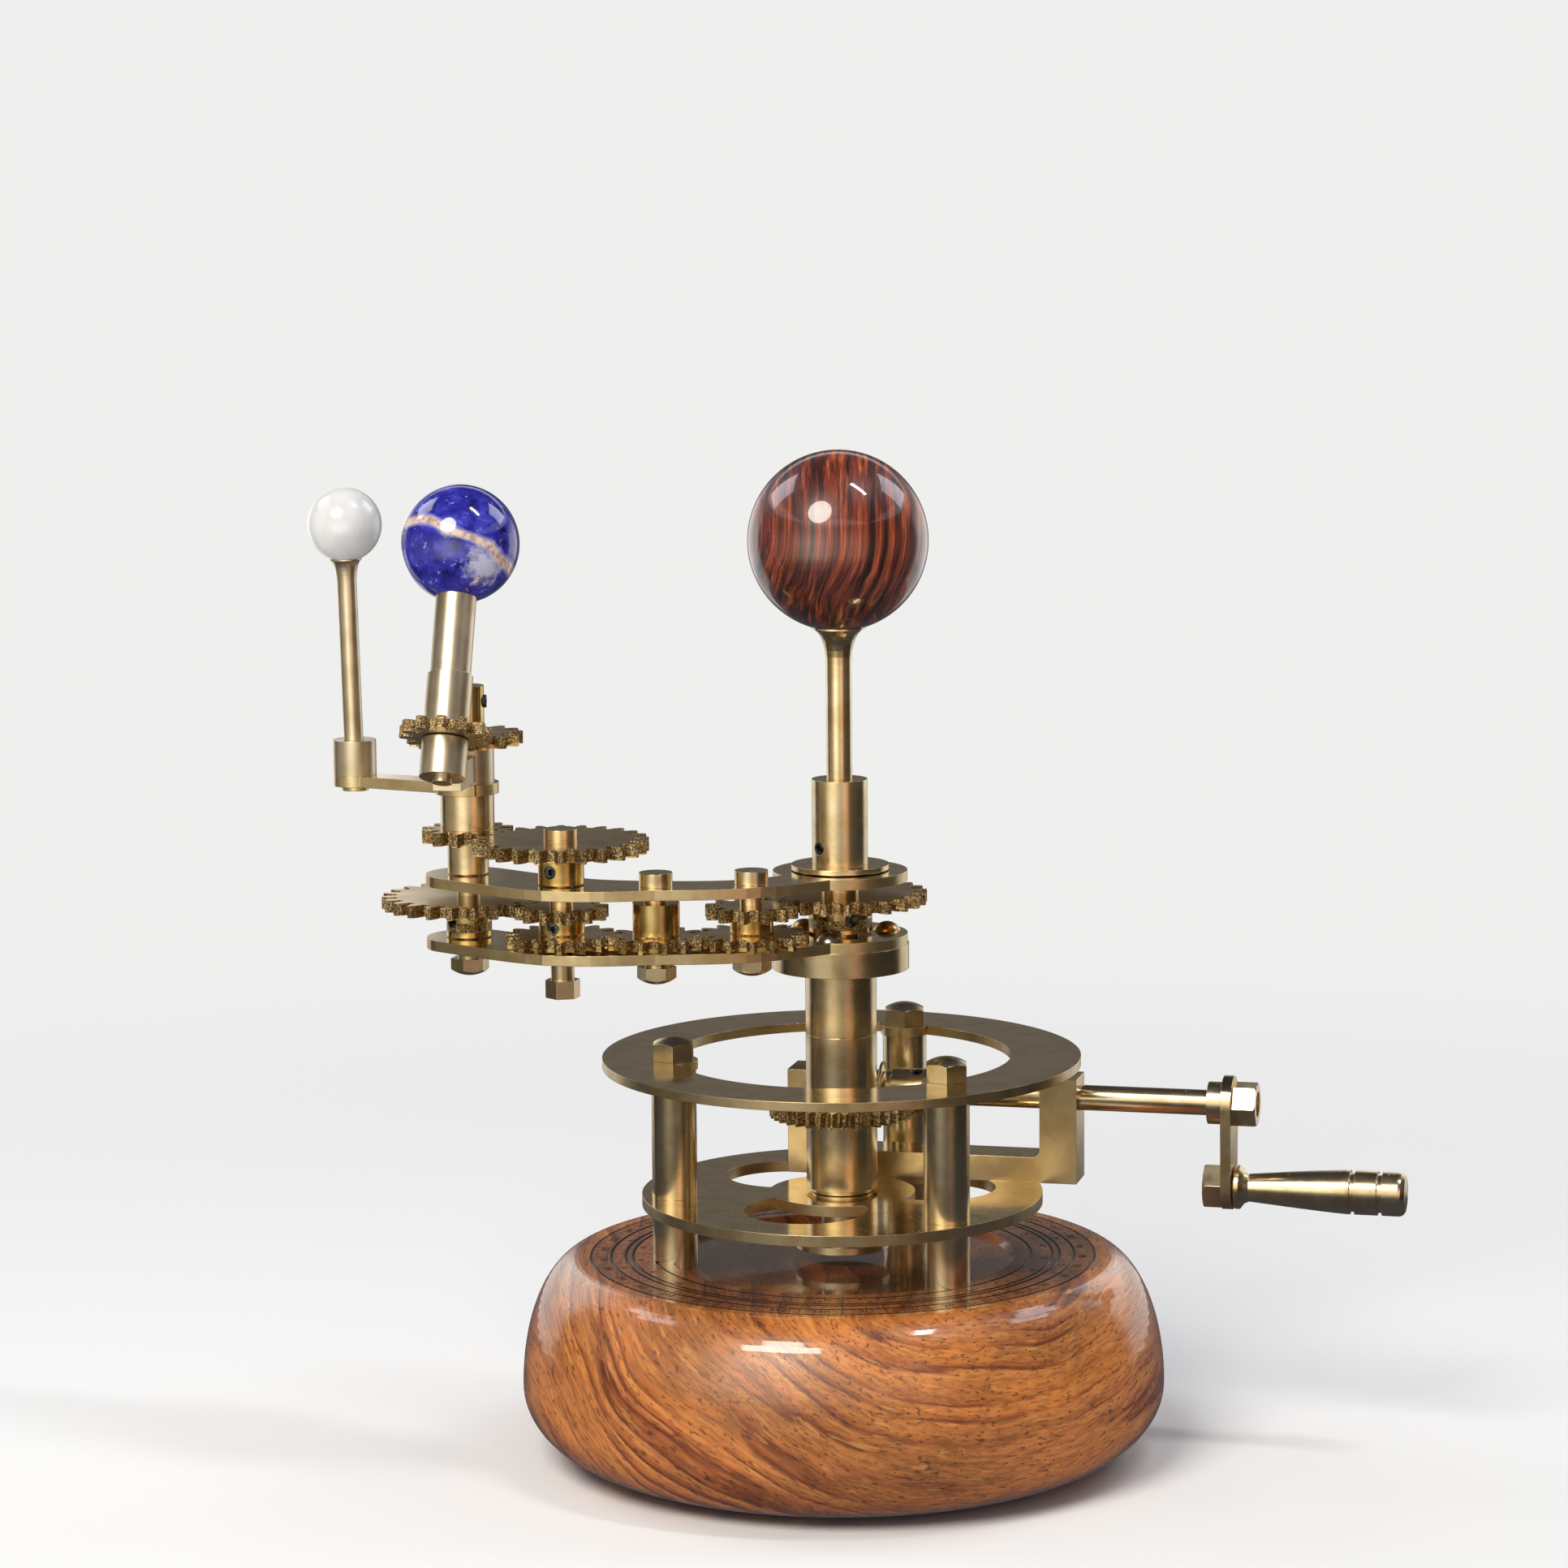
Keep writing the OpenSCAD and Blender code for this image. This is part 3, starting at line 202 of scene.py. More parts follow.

# %% [markdown]
# The recipe of the brass takes a mask: 0 where it is buffed and 1 where it is cut. The lumps are
# about 0.25 mm wide, as a coarse cutter leaves them. The colour carries painted shade in the hollows
# and painted highlights on the crests, which make them read even where the bump is small in the
# picture.


# %% Brass with rough teeth
def cut_brass(material, tree, mm, mask, colour, dark, buffed_rough):
    """Buffed brass where the mask is 0, and where it is 1 brass torn by the cutter, with painted
    shade and painted highlights on its lumps.
    """
    lumps = add(tree, "TexNoise", {"Vector": mm, "Scale": 4.0, "Detail": 3, "Roughness": 0.65})
    clouds = add(tree, "TexNoise", {"Vector": mm, "Scale": 0.25, "Detail": 4})
    buffed = add(tree, "ValToRGB", clouds, stops=[(0.3, dark), (0.62, colour)])
    # Brown of cut brass with painted shade in the hollows of the lumps and painted highlights on
    # their crests.
    cut_colour_with_painted_relief = add(tree, "ValToRGB", lumps, stops=[(0.34, "#33240f"), (0.48, "#836638"),
                                              (0.66, "#f0deb0")])
    tone = add(tree, "Mix", {0: mask, 6: buffed, 7: cut_colour_with_painted_relief}, out=2, data_type="RGBA")
    rough = add(tree, "Math", mask, 0.12, buffed_rough, operation="MULTIPLY_ADD")
    height = add(tree, "Math", lumps, mask, operation="MULTIPLY")
    edge = add(tree, "Bevel", {"Radius": 0.08 * MM}, samples=6)
    torn = add(tree, "Bump", {"Height": height, "Distance": 0.16 * MM, "Strength": 1.0,
                              "Normal": edge})
    return surface(material, tree, {"Metallic": 1, "Base Color": tone, "Roughness": rough,
                                    "Normal": torn})


def level_gear_brass(name, slices):
    material, tree, mm = start(name)
    height = add(tree, "Math", add(tree, "SeparateXYZ", mm, out="Z"), tallest,
                 operation="DIVIDE")
    play = 0.02
    steps = [(0.0, "#000000")]
    for low, high in slices:
        steps += [((low - play) / tallest, "#ffffff"), ((high + play) / tallest, "#000000")]
    in_slice = add(tree, "ValToRGB", height, stops=steps, smooth=False)
    facing = add(tree, "SeparateXYZ", add(tree, "TexCoord", out="Normal"), out="Z")
    slope = add(tree, "Math", facing, operation="ABSOLUTE")
    sideways = add(tree, "Math", slope, 0.5, operation="LESS_THAN")
    mask = add(tree, "Math", in_slice, sideways, operation="MULTIPLY")
    return cut_brass(material, tree, mm, mask, "#d6b97c", "#b8944f", 0.18)


gear_brass = level_gear_brass("brass_gear_cut", slices)
# The long hub of the second idler passes the upper slice, so only its lower slice is cut.
idler_brass = level_gear_brass("brass_gear_cut_low", slices[:2])

# %% [markdown]
# The earth's gear leans with its spindle, so heights say nothing about it. Its teeth are found by
# their distance from the leaning axis: the length of the cross product of the axis with the
# vector from the gear's middle. The axis comes from the joint in the record. Its hub is satin like
# the fittings beside it.

# %% Teeth of the leaning gear
earth_joint = next(j for j in frame["joints"] if j["child"] == "earth")
earth_hub_r = 4.6


def leaning_gear_brass():
    material, tree, mm = start("brass_gear_leaning")
    middle = [v / MM for v in earth_joint["pos_m"]]
    offset = add(tree, "VectorMath", mm, middle, operation="SUBTRACT")
    across = add(tree, "VectorMath", offset, earth_joint["axis"], operation="CROSS_PRODUCT")
    radius = add(tree, "VectorMath", across, out="Value", operation="LENGTH")
    outside = add(tree, "Math", radius, earth_hub_r, operation="GREATER_THAN")
    facing = add(tree, "SeparateXYZ", add(tree, "TexCoord", out="Normal"), out="Z")
    slope = add(tree, "Math", facing, operation="ABSOLUTE")
    sideways = add(tree, "Math", slope, 0.8, operation="LESS_THAN")
    mask = add(tree, "Math", outside, sideways, operation="MULTIPLY")
    return cut_brass(material, tree, mm, mask, "#d9cab0", "#c6b593", 0.34)


leaning_brass = leaning_gear_brass()
print("leaning axis:", [round(v, 3) for v in earth_joint["axis"]])

# %% [markdown]
# ## Steel set screws
# Socket set screws are blackened steel, slightly oily, with bright worn points. They are tiny, so
# a dark metal with a soft cloud of wear is all that can show.


# %% Blackened steel
def blackened_steel():
    material, tree, mm = start("steel_blackened")
    wear = add(tree, "TexNoise", {"Vector": mm, "Scale": 1.2, "Detail": 4})
    tone = add(tree, "ValToRGB", wear, stops=[(0.35, "#2a2a2c"), (0.7, "#7d7f82")])
    edge = add(tree, "Bevel", {"Radius": 0.08 * MM}, samples=6)
    return surface(material, tree, {"Metallic": 1, "Base Color": tone, "Roughness": 0.32,
                                    "Normal": edge})


set_screw_steel = blackened_steel()

# %% [markdown]
# One of the three domed screws on the arm is plated white, the other two are brass. They are one
# node, so the material picks the front one by its place.


# %% Domed screws
def dome_metal():
    material, tree, mm = start("brass_and_nickel_domes")
    front = add(tree, "Math", add(tree, "SeparateXYZ", mm, out="Y"), -5.0, operation="LESS_THAN")
    tone = add(tree, "Mix", {0: front, 6: "#cdb27c", 7: "#aeaba5"}, out=2, data_type="RGBA")
    dents = add(tree, "TexNoise", {"Vector": mm, "Scale": 1.5, "Detail": 5})
    dented = add(tree, "Bump", {"Height": dents, "Distance": 0.01 * MM, "Strength": 0.6})
    return surface(material, tree, {"Metallic": 1, "Base Color": tone, "Roughness": 0.28,
                                    "Normal": dented})


screw_domes = dome_metal()

# %% [markdown]
# ## Lacquered hardwood
# The base is one turned block of a golden-brown hardwood with thin dark growth lines, fine pores
# and a thick gloss lacquer. Turned wood shows its lines as a solid would: they are shells round
# the tree's heart, cut by the surface. So we measure the distance to a line that runs front to
# back over the right half of the base, and bend it with a slow noise. Fibres, flecks and pores
# follow the same shells, stretched along them.


# %% The space of the grain
def grain_space(tree, mm, heart, bend_mm):
    """Distance from the heart, depth along it, and angle round it."""
    slow = add(tree, "TexNoise", {"Vector": mm, "Scale": 0.022, "Detail": 2}, out="Color")
    shift = add(tree, "VectorMath", slow, (bend_mm,) * 3, operation="MULTIPLY")
    bent = add(tree, "VectorMath", mm, shift, operation="ADD")
    from_heart = add(tree, "VectorMath", bent, heart, operation="SUBTRACT")
    part = add(tree, "SeparateXYZ", from_heart, out=None).outputs
    flat = add(tree, "CombineXYZ", part["X"], part["Z"])
    distance = add(tree, "VectorMath", flat, out="Value", operation="LENGTH")
    return distance, part["Y"], add(tree, "Math", part["Z"], part["X"], operation="ARCTAN2")


def grain(tree, space, across, along, round_heart, detail, rough=0.6):
    """A noise with across blobs per mm over the bands, stretched the other two ways."""
    scaled = [add(tree, "Math", value, scale, operation="MULTIPLY")
              for value, scale in zip(space, (across, along, round_heart))]
    vector = add(tree, "CombineXYZ", *scaled)
    return add(tree, "TexNoise", {"Vector": vector, "Scale": 1.0, "Detail": detail,
                                  "Roughness": rough})


print("the heart of the tree runs front to back")

# %% [markdown]
# A saw wave over the distance draws one growth ring every 4 mm or so: pale early wood that deepens
# slowly and ends in a thin red-brown line, strong in some places and faint in others. Broad
# patches and fibres about 0.5 mm wide go over it with the Overlay blend, which darkens and
# lightens without losing the hue, and golden flecks and dark pores come last.

# %% Hardwood
ring_gap_mm = 4.0
golden = [(0.0, "#8c4820"), (0.12, "#bf773a"), (0.45, "#b46c30"), (0.78, "#9c5525"),
          (0.95, "#672d12")]
early_wood = "#b46c30"


def hardwood(tree, mm, heart, bend_mm):
    """The colour of the wood, and a mask of its pores."""
    space = grain_space(tree, mm, heart, bend_mm)
    uneven = grain(tree, space, 0.1, 0.012, 0.5, detail=3, rough=0.55)
    shaky = grain(tree, space, 0.5, 0.03, 4.0, detail=2)
    count = add(tree, "Math", space[0], ring_gap_mm, operation="DIVIDE")
    small = add(tree, "Math", shaky, 0.35, operation="MULTIPLY")
    drift = add(tree, "Math", uneven, 4.5, small, operation="MULTIPLY_ADD")
    years = add(tree, "Math", count, drift, operation="ADD")
    year = add(tree, "ValToRGB", add(tree, "Math", years, operation="FRACT"), stops=golden)
    strong = add(tree, "ValToRGB", grain(tree, space, 0.09, 0.02, 2.2, detail=2),
                 stops=[(0.38, "#666666"), (0.62, "#f4f4f4")])
    colour = add(tree, "Mix", {0: strong, 6: early_wood, 7: year}, out=2, data_type="RGBA")
    patches = add(tree, "ValToRGB", grain(tree, space, 0.07, 0.012, 1.3, detail=3, rough=0.55),
                  stops=[(0.36, "#9c9c9c"), (0.64, "#d9d9d9")])
    colour = add(tree, "Mix", {0: 0.75, 6: colour, 7: patches}, out=2, data_type="RGBA",
                 blend_type="OVERLAY")
    fibres = add(tree, "ValToRGB", grain(tree, space, 1.9, 0.14, 22.0, detail=4, rough=0.62),
                 stops=[(0.36, "#9a9a9a"), (0.62, "#d6d6d6")])
    colour = add(tree, "Mix", {0: 0.7, 6: colour, 7: fibres}, out=2, data_type="RGBA",
                 blend_type="OVERLAY")
    golden_spots = grain(tree, space, 1.1, 0.25, 9.0, detail=1)
    flecks = add(tree, "Math", golden_spots, 0.68, operation="GREATER_THAN")
    pale = add(tree, "Math", flecks, 0.35, operation="MULTIPLY")
    colour = add(tree, "Mix", {0: pale, 6: colour, 7: "#d9a055"}, out=2, data_type="RGBA")
    dots = grain(tree, space, 3.2, 0.5, 60.0, detail=0)
    pores = add(tree, "Math", dots, 0.7, operation="GREATER_THAN")
    depth = add(tree, "Math", pores, 0.6, operation="MULTIPLY")
    colour = add(tree, "Mix", {0: depth, 6: colour, 7: "#3a1a0a"}, out=2, data_type="RGBA")
    return colour, pores


print("growth lines are about", ring_gap_mm, "mm apart")

# %% [markdown]
# ## The engraved dial
# Rings, divisions and numbers are burnt into the flat top with a hot tool, which leaves dark
# lines in darker, scorched wood. The deep ring lines are in the model. The finer divisions are
# drawn by the material, from the angle and the radius of each point: a line shows where the
# angle times the count is near a whole number.

# %% Masks of the dial
dial_z = 33.5
dial_depth = 1.5
hollow_r = 28.4
dial_r = 41.7
ring_lines = [31.08, 34.58, 35.78, 38.18, 41.58]
# Each row: how many lines, how wide in mm, and from which radius to which.
divisions = [(360, 0.16, 34.6, 35.7), (72, 0.22, 31.1, 32.6), (12, 0.3, 31.1, 41.5),
             (36, 0.2, 35.8, 41.5), (180, 0.16, 40.6, 41.5)]


def any_of(tree, masks):
    """One where any of the masks is one."""
    total = masks[0]
    for mask in masks[1:]:
        total = add(tree, "Math", total, mask, operation="MAXIMUM")
    return total


def between(tree, value, low, high):
    """One where the value lies between two limits."""
    above = add(tree, "Math", value, low, operation="GREATER_THAN")
    below = add(tree, "Math", value, high, operation="LESS_THAN")
    return add(tree, "Math", above, below, operation="MULTIPLY")


def spokes(tree, radius, turn, count, width_mm, low, high):
    """Radial lines of one width, evenly spaced, between two radii."""
    steps = add(tree, "Math", turn, count / (2 * math.pi), operation="MULTIPLY")
    whole = add(tree, "Math", steps, operation="ROUND")
    off = add(tree, "Math", add(tree, "Math", steps, whole, operation="SUBTRACT"),
              operation="ABSOLUTE")
    angle = add(tree, "Math", off, 2 * math.pi / count, operation="MULTIPLY")
    distance = add(tree, "Math", angle, radius, operation="MULTIPLY")
    line = add(tree, "Math", distance, width_mm / 2, operation="LESS_THAN")
    return add(tree, "Math", line, between(tree, radius, low, high), operation="MULTIPLY")


def dial_masks(tree, mm):
    """Masks of the scorched band, the hollow inside it and the burnt lines."""
    part = add(tree, "SeparateXYZ", mm, out=None).outputs
    flat = add(tree, "CombineXYZ", part["X"], part["Y"])
    radius = add(tree, "VectorMath", flat, out="Value", operation="LENGTH")
    turn = add(tree, "Math", part["Y"], part["X"], operation="ARCTAN2")
    on_top = add(tree, "Math", part["Z"], dial_z - dial_depth, operation="GREATER_THAN")
    band = add(tree, "Math", between(tree, radius, hollow_r, dial_r), on_top,
               operation="MULTIPLY")
    inner = add(tree, "Math", radius, hollow_r, operation="LESS_THAN")
    hollow = add(tree, "Math", inner, on_top, operation="MULTIPLY")
    half_line = 0.26
    lines = [between(tree, radius, r - half_line, r + half_line) for r in ring_lines]
    lines += [spokes(tree, radius, turn, *row) for row in divisions]
    burnt = add(tree, "Math", any_of(tree, lines), band, operation="MULTIPLY")
    return band, hollow, burnt


print("ring lines at", ring_lines, "mm")

# %% [markdown]
# Lacquer is a clear second surface, so it is the coat of the Principled BSDF: smooth and sharp over
# the belly, drier over the scorched band. Its own very slow bump of 0.12 mm makes the highlights
# wander a little, as they do on a thick hand-laid coat.


# %% Lacquered base
def lacquered_base():
    material, tree, mm = start("hardwood_turned_lacquered")
    wood, pores = hardwood(tree, mm, heart=(32.0, 0.0, 79.0), bend_mm=12.0)
    band, hollow, burnt = dial_masks(tree, mm)
    scorched = add(tree, "Mix", {0: 0.72, 6: wood, 7: "#7a3a1c"}, out=2, data_type="RGBA",
                   blend_type="MULTIPLY")
    heat = add(tree, "Math", band, 0.75, operation="MULTIPLY")
    colour = add(tree, "Mix", {0: heat, 6: wood, 7: scorched}, out=2, data_type="RGBA")
    # The hollow inside the dial is darkened with painted shade, as a recess is.
    recess_painted_shade_colour = add(tree, "Mix", {0: 0.6, 6: wood, 7: "#5a2411"}, out=2, data_type="RGBA",
               blend_type="MULTIPLY")
    shade = add(tree, "Math", hollow, 0.9, operation="MULTIPLY")
    colour = add(tree, "Mix", {0: shade, 6: colour, 7: recess_painted_shade_colour}, out=2, data_type="RGBA")
    soot = add(tree, "TexNoise", {"Vector": mm, "Scale": 3.0, "Detail": 3})
    char = add(tree, "ValToRGB", soot, stops=[(0.3, "#120806"), (0.8, "#2e1710")])
    colour = add(tree, "Mix", {0: burnt, 6: colour, 7: char}, out=2, data_type="RGBA")
    patchy = add(tree, "TexNoise", {"Vector": mm, "Scale": 1.2, "Detail": 3})
    dull = add(tree, "Math", patchy, 0.3, 0.12, operation="MULTIPLY_ADD")
    dry = add(tree, "Math", band, dull, operation="MULTIPLY")
    coat_rough = add(tree, "Math", dry, 0.07, operation="MAXIMUM")
    pits = add(tree, "Math", pores, -0.15, operation="MULTIPLY")
    carved = add(tree, "Math", pits, burnt, operation="SUBTRACT")
    engraved = add(tree, "Bump", {"Height": carved, "Distance": 0.1 * MM, "Strength": 0.8})
    sag = add(tree, "TexNoise", {"Vector": mm, "Scale": 0.12, "Detail": 1})
    wavy = add(tree, "Bump", {"Height": sag, "Distance": 0.12 * MM, "Strength": 0.35})
    return surface(material, tree, {
        "Base Color": colour, "Roughness": 0.38, "IOR": 1.5, "Normal": engraved,
        "Coat Weight": 1.0, "Coat Roughness": coat_rough, "Coat IOR": 1.5, "Coat Normal": wavy})


base_wood = lacquered_base()

# %% [markdown]
# ## The three balls
# The sun is a dark red-brown rosewood, turned and varnished, with fine straight streaks that run
# up it and only swirl near the bottom. The streaks are a noise stretched along Z. The swirl is a
# slow push sideways that grows from nothing at the middle of the ball to 8 mm at its bottom, and
# the same push darkens the colour towards the bottom as painted shade.


# %% Rosewood sun
def rosewood():
    material, tree, mm = start("rosewood_turned_varnished")
    low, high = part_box("sun_ball")
    middle = (low.z + high.z) / 2 / MM
    height = add(tree, "SeparateXYZ", mm, out="Z")
    push = add(tree, "MapRange", {"Value": height, "From Min": middle + 2,
                                  "From Max": low.z / MM, "To Max": 8.0},
               interpolation_type="SMOOTHSTEP")
    swirl = add(tree, "TexNoise", {"Vector": mm, "Scale": 0.09, "Detail": 2}, out="Color")
    shift = add(tree, "VectorMath", swirl, {"Scale": push}, operation="SCALE")
    bent = add(tree, "VectorMath", mm, shift, operation="ADD")
    upright = add(tree, "VectorMath", bent, (1.25, 0.12, 0.035), operation="MULTIPLY")
    streaks = add(tree, "TexNoise", {"Vector": upright, "Scale": 1.0, "Detail": 6,
                                     "Roughness": 0.64})
    rose = add(tree, "ValToRGB", streaks, stops=[
        (0.36, "#1e0805"), (0.45, "#45160b"), (0.54, "#742b13"), (0.64, "#a14a20"),
        (0.76, "#cb7c3a")])
    thin = add(tree, "VectorMath", bent, (3.6, 0.5, 0.12), operation="MULTIPLY")
    fine = add(tree, "TexNoise", {"Vector": thin, "Scale": 1.0, "Detail": 3})
    hairs = add(tree, "ValToRGB", fine, stops=[(0.35, "#8e8e8e"), (0.62, "#dedede")])
    rose = add(tree, "Mix", {0: 0.6, 6: rose, 7: hairs}, out=2, data_type="RGBA",
               blend_type="OVERLAY")
    # Painted shade: the colour grows darker towards the bottom of the ball, where less light falls.
    painted_bottom_shade = add(tree, "Math", push, 0.07, operation="MULTIPLY")
    rose = add(tree, "Mix", {0: painted_bottom_shade, 6: rose, 7: "#8a7468"}, out=2, data_type="RGBA",
               blend_type="MULTIPLY")
    return surface(material, tree, {
        "Base Color": rose, "Roughness": 0.4, "IOR": 1.5,
        "Coat Weight": 1.0, "Coat Roughness": 0.04, "Coat IOR": 1.5})


sun_wood = rosewood()

# %% [markdown]
# The earth is a polished blue-violet stone with pale flecks, a thin salmon vein that slants across
# its face and cloudy white patches. The vein is a bent plane through the ball: its distance is the
# dot product with a slanting direction, taken after a noise has pushed each point up to 1.5 mm.
# The clouds gather round one place low on the front, torn by a noise of their own.

# %% Blue stone earth
vein_way = (-0.396, -0.407, -0.823)
cloud_way = (0.5, -0.8, -0.3)


def sodalite():
    material, tree, mm = start("sodalite_polished")
    low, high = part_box("earth_ball")
    centre = [v / MM for v in (low + high) / 2]
    ball_r = (high.z - low.z) / 2 / MM
    middle = add(tree, "VectorMath", mm, centre, operation="SUBTRACT")
    wobble = add(tree, "TexNoise", {"Vector": mm, "Scale": 0.16, "Detail": 5}, out="Color")
    wander = add(tree, "VectorMath", wobble, (3, 3, 3), (-1.5, -1.5, -1.5),
                 operation="MULTIPLY_ADD")
    bent = add(tree, "VectorMath", middle, wander, operation="ADD")
    depth = add(tree, "TexNoise", {"Vector": mm, "Scale": 0.4, "Detail": 6, "Roughness": 0.62})
    stone = add(tree, "ValToRGB", depth, stops=[
        (0.32, "#12104a"), (0.48, "#25248a"), (0.6, "#3a3aa6"), (0.74, "#6668c4")])
    spots = add(tree, "TexNoise", {"Vector": mm, "Scale": 0.9, "Detail": 4, "Roughness": 0.6})
    flecks = add(tree, "Math", add(tree, "Math", spots, 0.66, operation="GREATER_THAN"), 0.5,
                 operation="MULTIPLY")
    stone = add(tree, "Mix", {0: flecks, 6: stone, 7: "#a9abd6"}, out=2, data_type="RGBA")
    cloud_place = [v * ball_r for v in cloud_way]
    away = add(tree, "VectorMath", bent, cloud_place, out="Value", operation="DISTANCE")
    rags = add(tree, "TexNoise", {"Vector": mm, "Scale": 0.5, "Detail": 6, "Roughness": 0.7})
    torn = add(tree, "Math", rags, -9.0, away, operation="MULTIPLY_ADD")
    cloud = add(tree, "MapRange", {"Value": torn, "From Min": -0.6, "From Max": -3.0,
                                   "To Max": 0.75})
    stone = add(tree, "Mix", {0: cloud, 6: stone, 7: "#d4d3e2"}, out=2, data_type="RGBA")
    slant = add(tree, "VectorMath", bent, vein_way, out="Value", operation="DOT_PRODUCT")
    beside = add(tree, "Math", slant, 0.116 * ball_r, operation="SUBTRACT")
    from_vein = add(tree, "Math", beside, operation="ABSOLUTE")
    fade = add(tree, "Math", from_vein, 1.2, operation="DIVIDE")
    fringe = add(tree, "Math", 1.0, fade, operation="SUBTRACT", use_clamp=True)
    stone = add(tree, "Mix", {0: fringe, 6: stone, 7: "#cfc9d6"}, out=2, data_type="RGBA")
    vein = add(tree, "Math", from_vein, 0.6, operation="LESS_THAN")
    grit = add(tree, "TexNoise", {"Vector": mm, "Scale": 1.1, "Detail": 4})
    salmon = add(tree, "ValToRGB", grit, stops=[(0.35, "#ad8b7d"), (0.62, "#d6beb4")])
    stone = add(tree, "Mix", {0: vein, 6: stone, 7: salmon}, out=2, data_type="RGBA")
    return surface(material, tree, {"Base Color": stone, "Roughness": 0.12, "IOR": 1.48,
                                    "Coat Weight": 0.6, "Coat Roughness": 0.03})


earth_stone = sodalite()

# %% [markdown]
# The moon is a plain white stone with a satin gloss. A little light goes 2 mm into it, which
# softens the edge of its shadow.


# %% White stone moon
def white_stone():
    material, tree, mm = start("white_stone_polished")
    clouds = add(tree, "TexNoise", {"Vector": mm, "Scale": 0.3, "Detail": 4})
    tone = add(tree, "ValToRGB", clouds, stops=[(0.3, "#d0d0cf"), (0.7, "#dddcda")])
    return surface(material, tree, {
        "Base Color": tone, "Roughness": 0.22, "IOR": 1.5, "Coat Weight": 0.4,
        "Coat Roughness": 0.06, "Subsurface Weight": 0.12, "Subsurface Scale": 2 * MM})


moon_stone = white_stone()

# %% [markdown]
# ## Giving the materials out
# Every CAD node gets one material. Most are turned brass, so the table below lists only the
# others.

# %% Dress the nodes
special = {
    base_wood: ["wood_base"],
    sun_wood: ["sun_ball"],
    earth_stone: ["earth_ball"],
    moon_stone: ["moon_ball"],
    screw_domes: ["flange_screws"],
    leaning_brass: ["earth_gear"],
    sheet_brass: ["lower_plate", "ring_plate", "crank_bracket", "crank_lever",
                  "lower_arm_plate", "upper_arm_plate", "moon_arm"],
    satin_brass: ["earth_spindle", "spin_shaft", "tilt_carrier", "moon_collar", "moon_stem"],
    set_screw_steel: ["frame_grub_screws", "worm_grub_screw", "layshaft_grub_screws",
                      "spin_shaft_grub_screws", "moon_grub_screw", "crank_end_ring"],
    gear_brass: ["fixed_gear", "worm_wheel", "idler_1_upper_gear", "idler_1_lower_gear",
                 "layshaft_lower_gear", "layshaft_middle_gear", "layshaft_top_gear",
                 "spin_shaft_gear", "spin_drive_gear", "moon_pinion"],
    idler_brass: ["idler_2_gear"],
}
coats = {name: material for material, names in special.items() for name in names}
for name, node in nodes.items():
    node.data.materials.clear()
    node.data.materials.append(coats.get(name, turned_brass))
print("dressed", len(nodes), "nodes,", len(coats), "of them not turned brass")

# %% [markdown]
# ## Numbers on the dial
# The rings of the dial carry plain numbers: degrees by tens in the outer band and the twelve
# months' numbers in the next. Each is a text curve, made flat and turned into a thin mesh, 0.02 mm
# proud of the wood so that it can't flicker into it. All are joined into one piece.

# %% Burnt numbers
proud_mm = 0.02


def burnt_ink():
    material, tree, mm = start("wood_burnt_lines")
    soot = add(tree, "TexNoise", {"Vector": mm, "Scale": 4.0, "Detail": 3})
    char = add(tree, "ValToRGB", soot, stops=[(0.3, "#1a0c08"), (0.75, "#3d2418")])
    return surface(material, tree, {"Base Color": char, "Roughness": 0.7})


def number(text, size_mm, radius_mm, degrees):
    """A flat number at a radius, its foot towards the middle of the dial."""
    curve = bpy.data.curves.new("number", "FONT")
    curve.body, curve.size = text, size_mm * MM
    curve.align_x, curve.align_y = "CENTER", "CENTER"
    curve.resolution_u = 2
    piece = bpy.data.objects.new("number", curve)
    bpy.context.scene.collection.objects.link(piece)
    turn = math.radians(degrees)
    piece.location = (radius_mm * MM * math.cos(turn), radius_mm * MM * math.sin(turn),
                      (dial_z + proud_mm) * MM)
    piece.rotation_euler = (0, 0, turn + math.pi / 2)
    return piece


numbers = [number(str(10 * k), 2.0, 39.6, 10 * k - 85) for k in range(36)]
numbers += [number(str(k + 1), 1.9, 36.95, 30 * k - 75) for k in range(12)]
numbers += [number(str(5 * k), 1.5, 33.5, 15 * k - 82.5) for k in range(24)]
bpy.context.view_layer.update()
bpy.ops.object.select_all(action="DESELECT")
for piece in numbers:
    piece.select_set(True)
bpy.context.view_layer.objects.active = numbers[0]
bpy.ops.object.convert(target="MESH")
bpy.ops.object.join()
dial_numbers = bpy.context.view_layer.objects.active
dial_numbers.name = "dial_numbers"
dial_numbers.data.transform(dial_numbers.matrix_world)
dial_numbers.matrix_world = Matrix.Identity(4)
dial_numbers.data.materials.clear()
dial_numbers.data.materials.append(burnt_ink())
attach(dial_numbers, "frame")
print("dial numbers:", len(numbers), "faces:", len(dial_numbers.data.polygons))

# %% [markdown]
# ## The studio
# The floor is a wide pale sheet that catches the shadow close to the object and fades into plain
# light further out, so that no horizon shows. Only rays that see it as a picture, from the camera
# or by way of a mirror or glass, get that light: it never lights the object.

# %% Floor
backdrop_colour = "#efefee"


def sheet(name, points, faces, material):
    """A stage piece: it is seen, or mirrored, but is no part of the product."""
    mesh = bpy.data.meshes.new(name)
    mesh.from_pydata(points, [], faces)
    mesh.materials.append(material)
    piece = bpy.data.objects.new(name, mesh)
    bpy.context.scene.collection.objects.link(piece)
    return piece


def square(half, z):
    """Four corners of a level square."""
    return [(-half, -half, z), (half, -half, z), (half, half, z), (-half, half, z)]


def seen_as_picture(tree):
    """One for rays from the camera, a mirror or glass, and zero for rays that carry light."""
    path = add(tree, "LightPath", out=None).outputs
    return any_of(tree, [path["Is Camera Ray"], path["Is Glossy Ray"],
                         path["Is Transmission Ray"]])


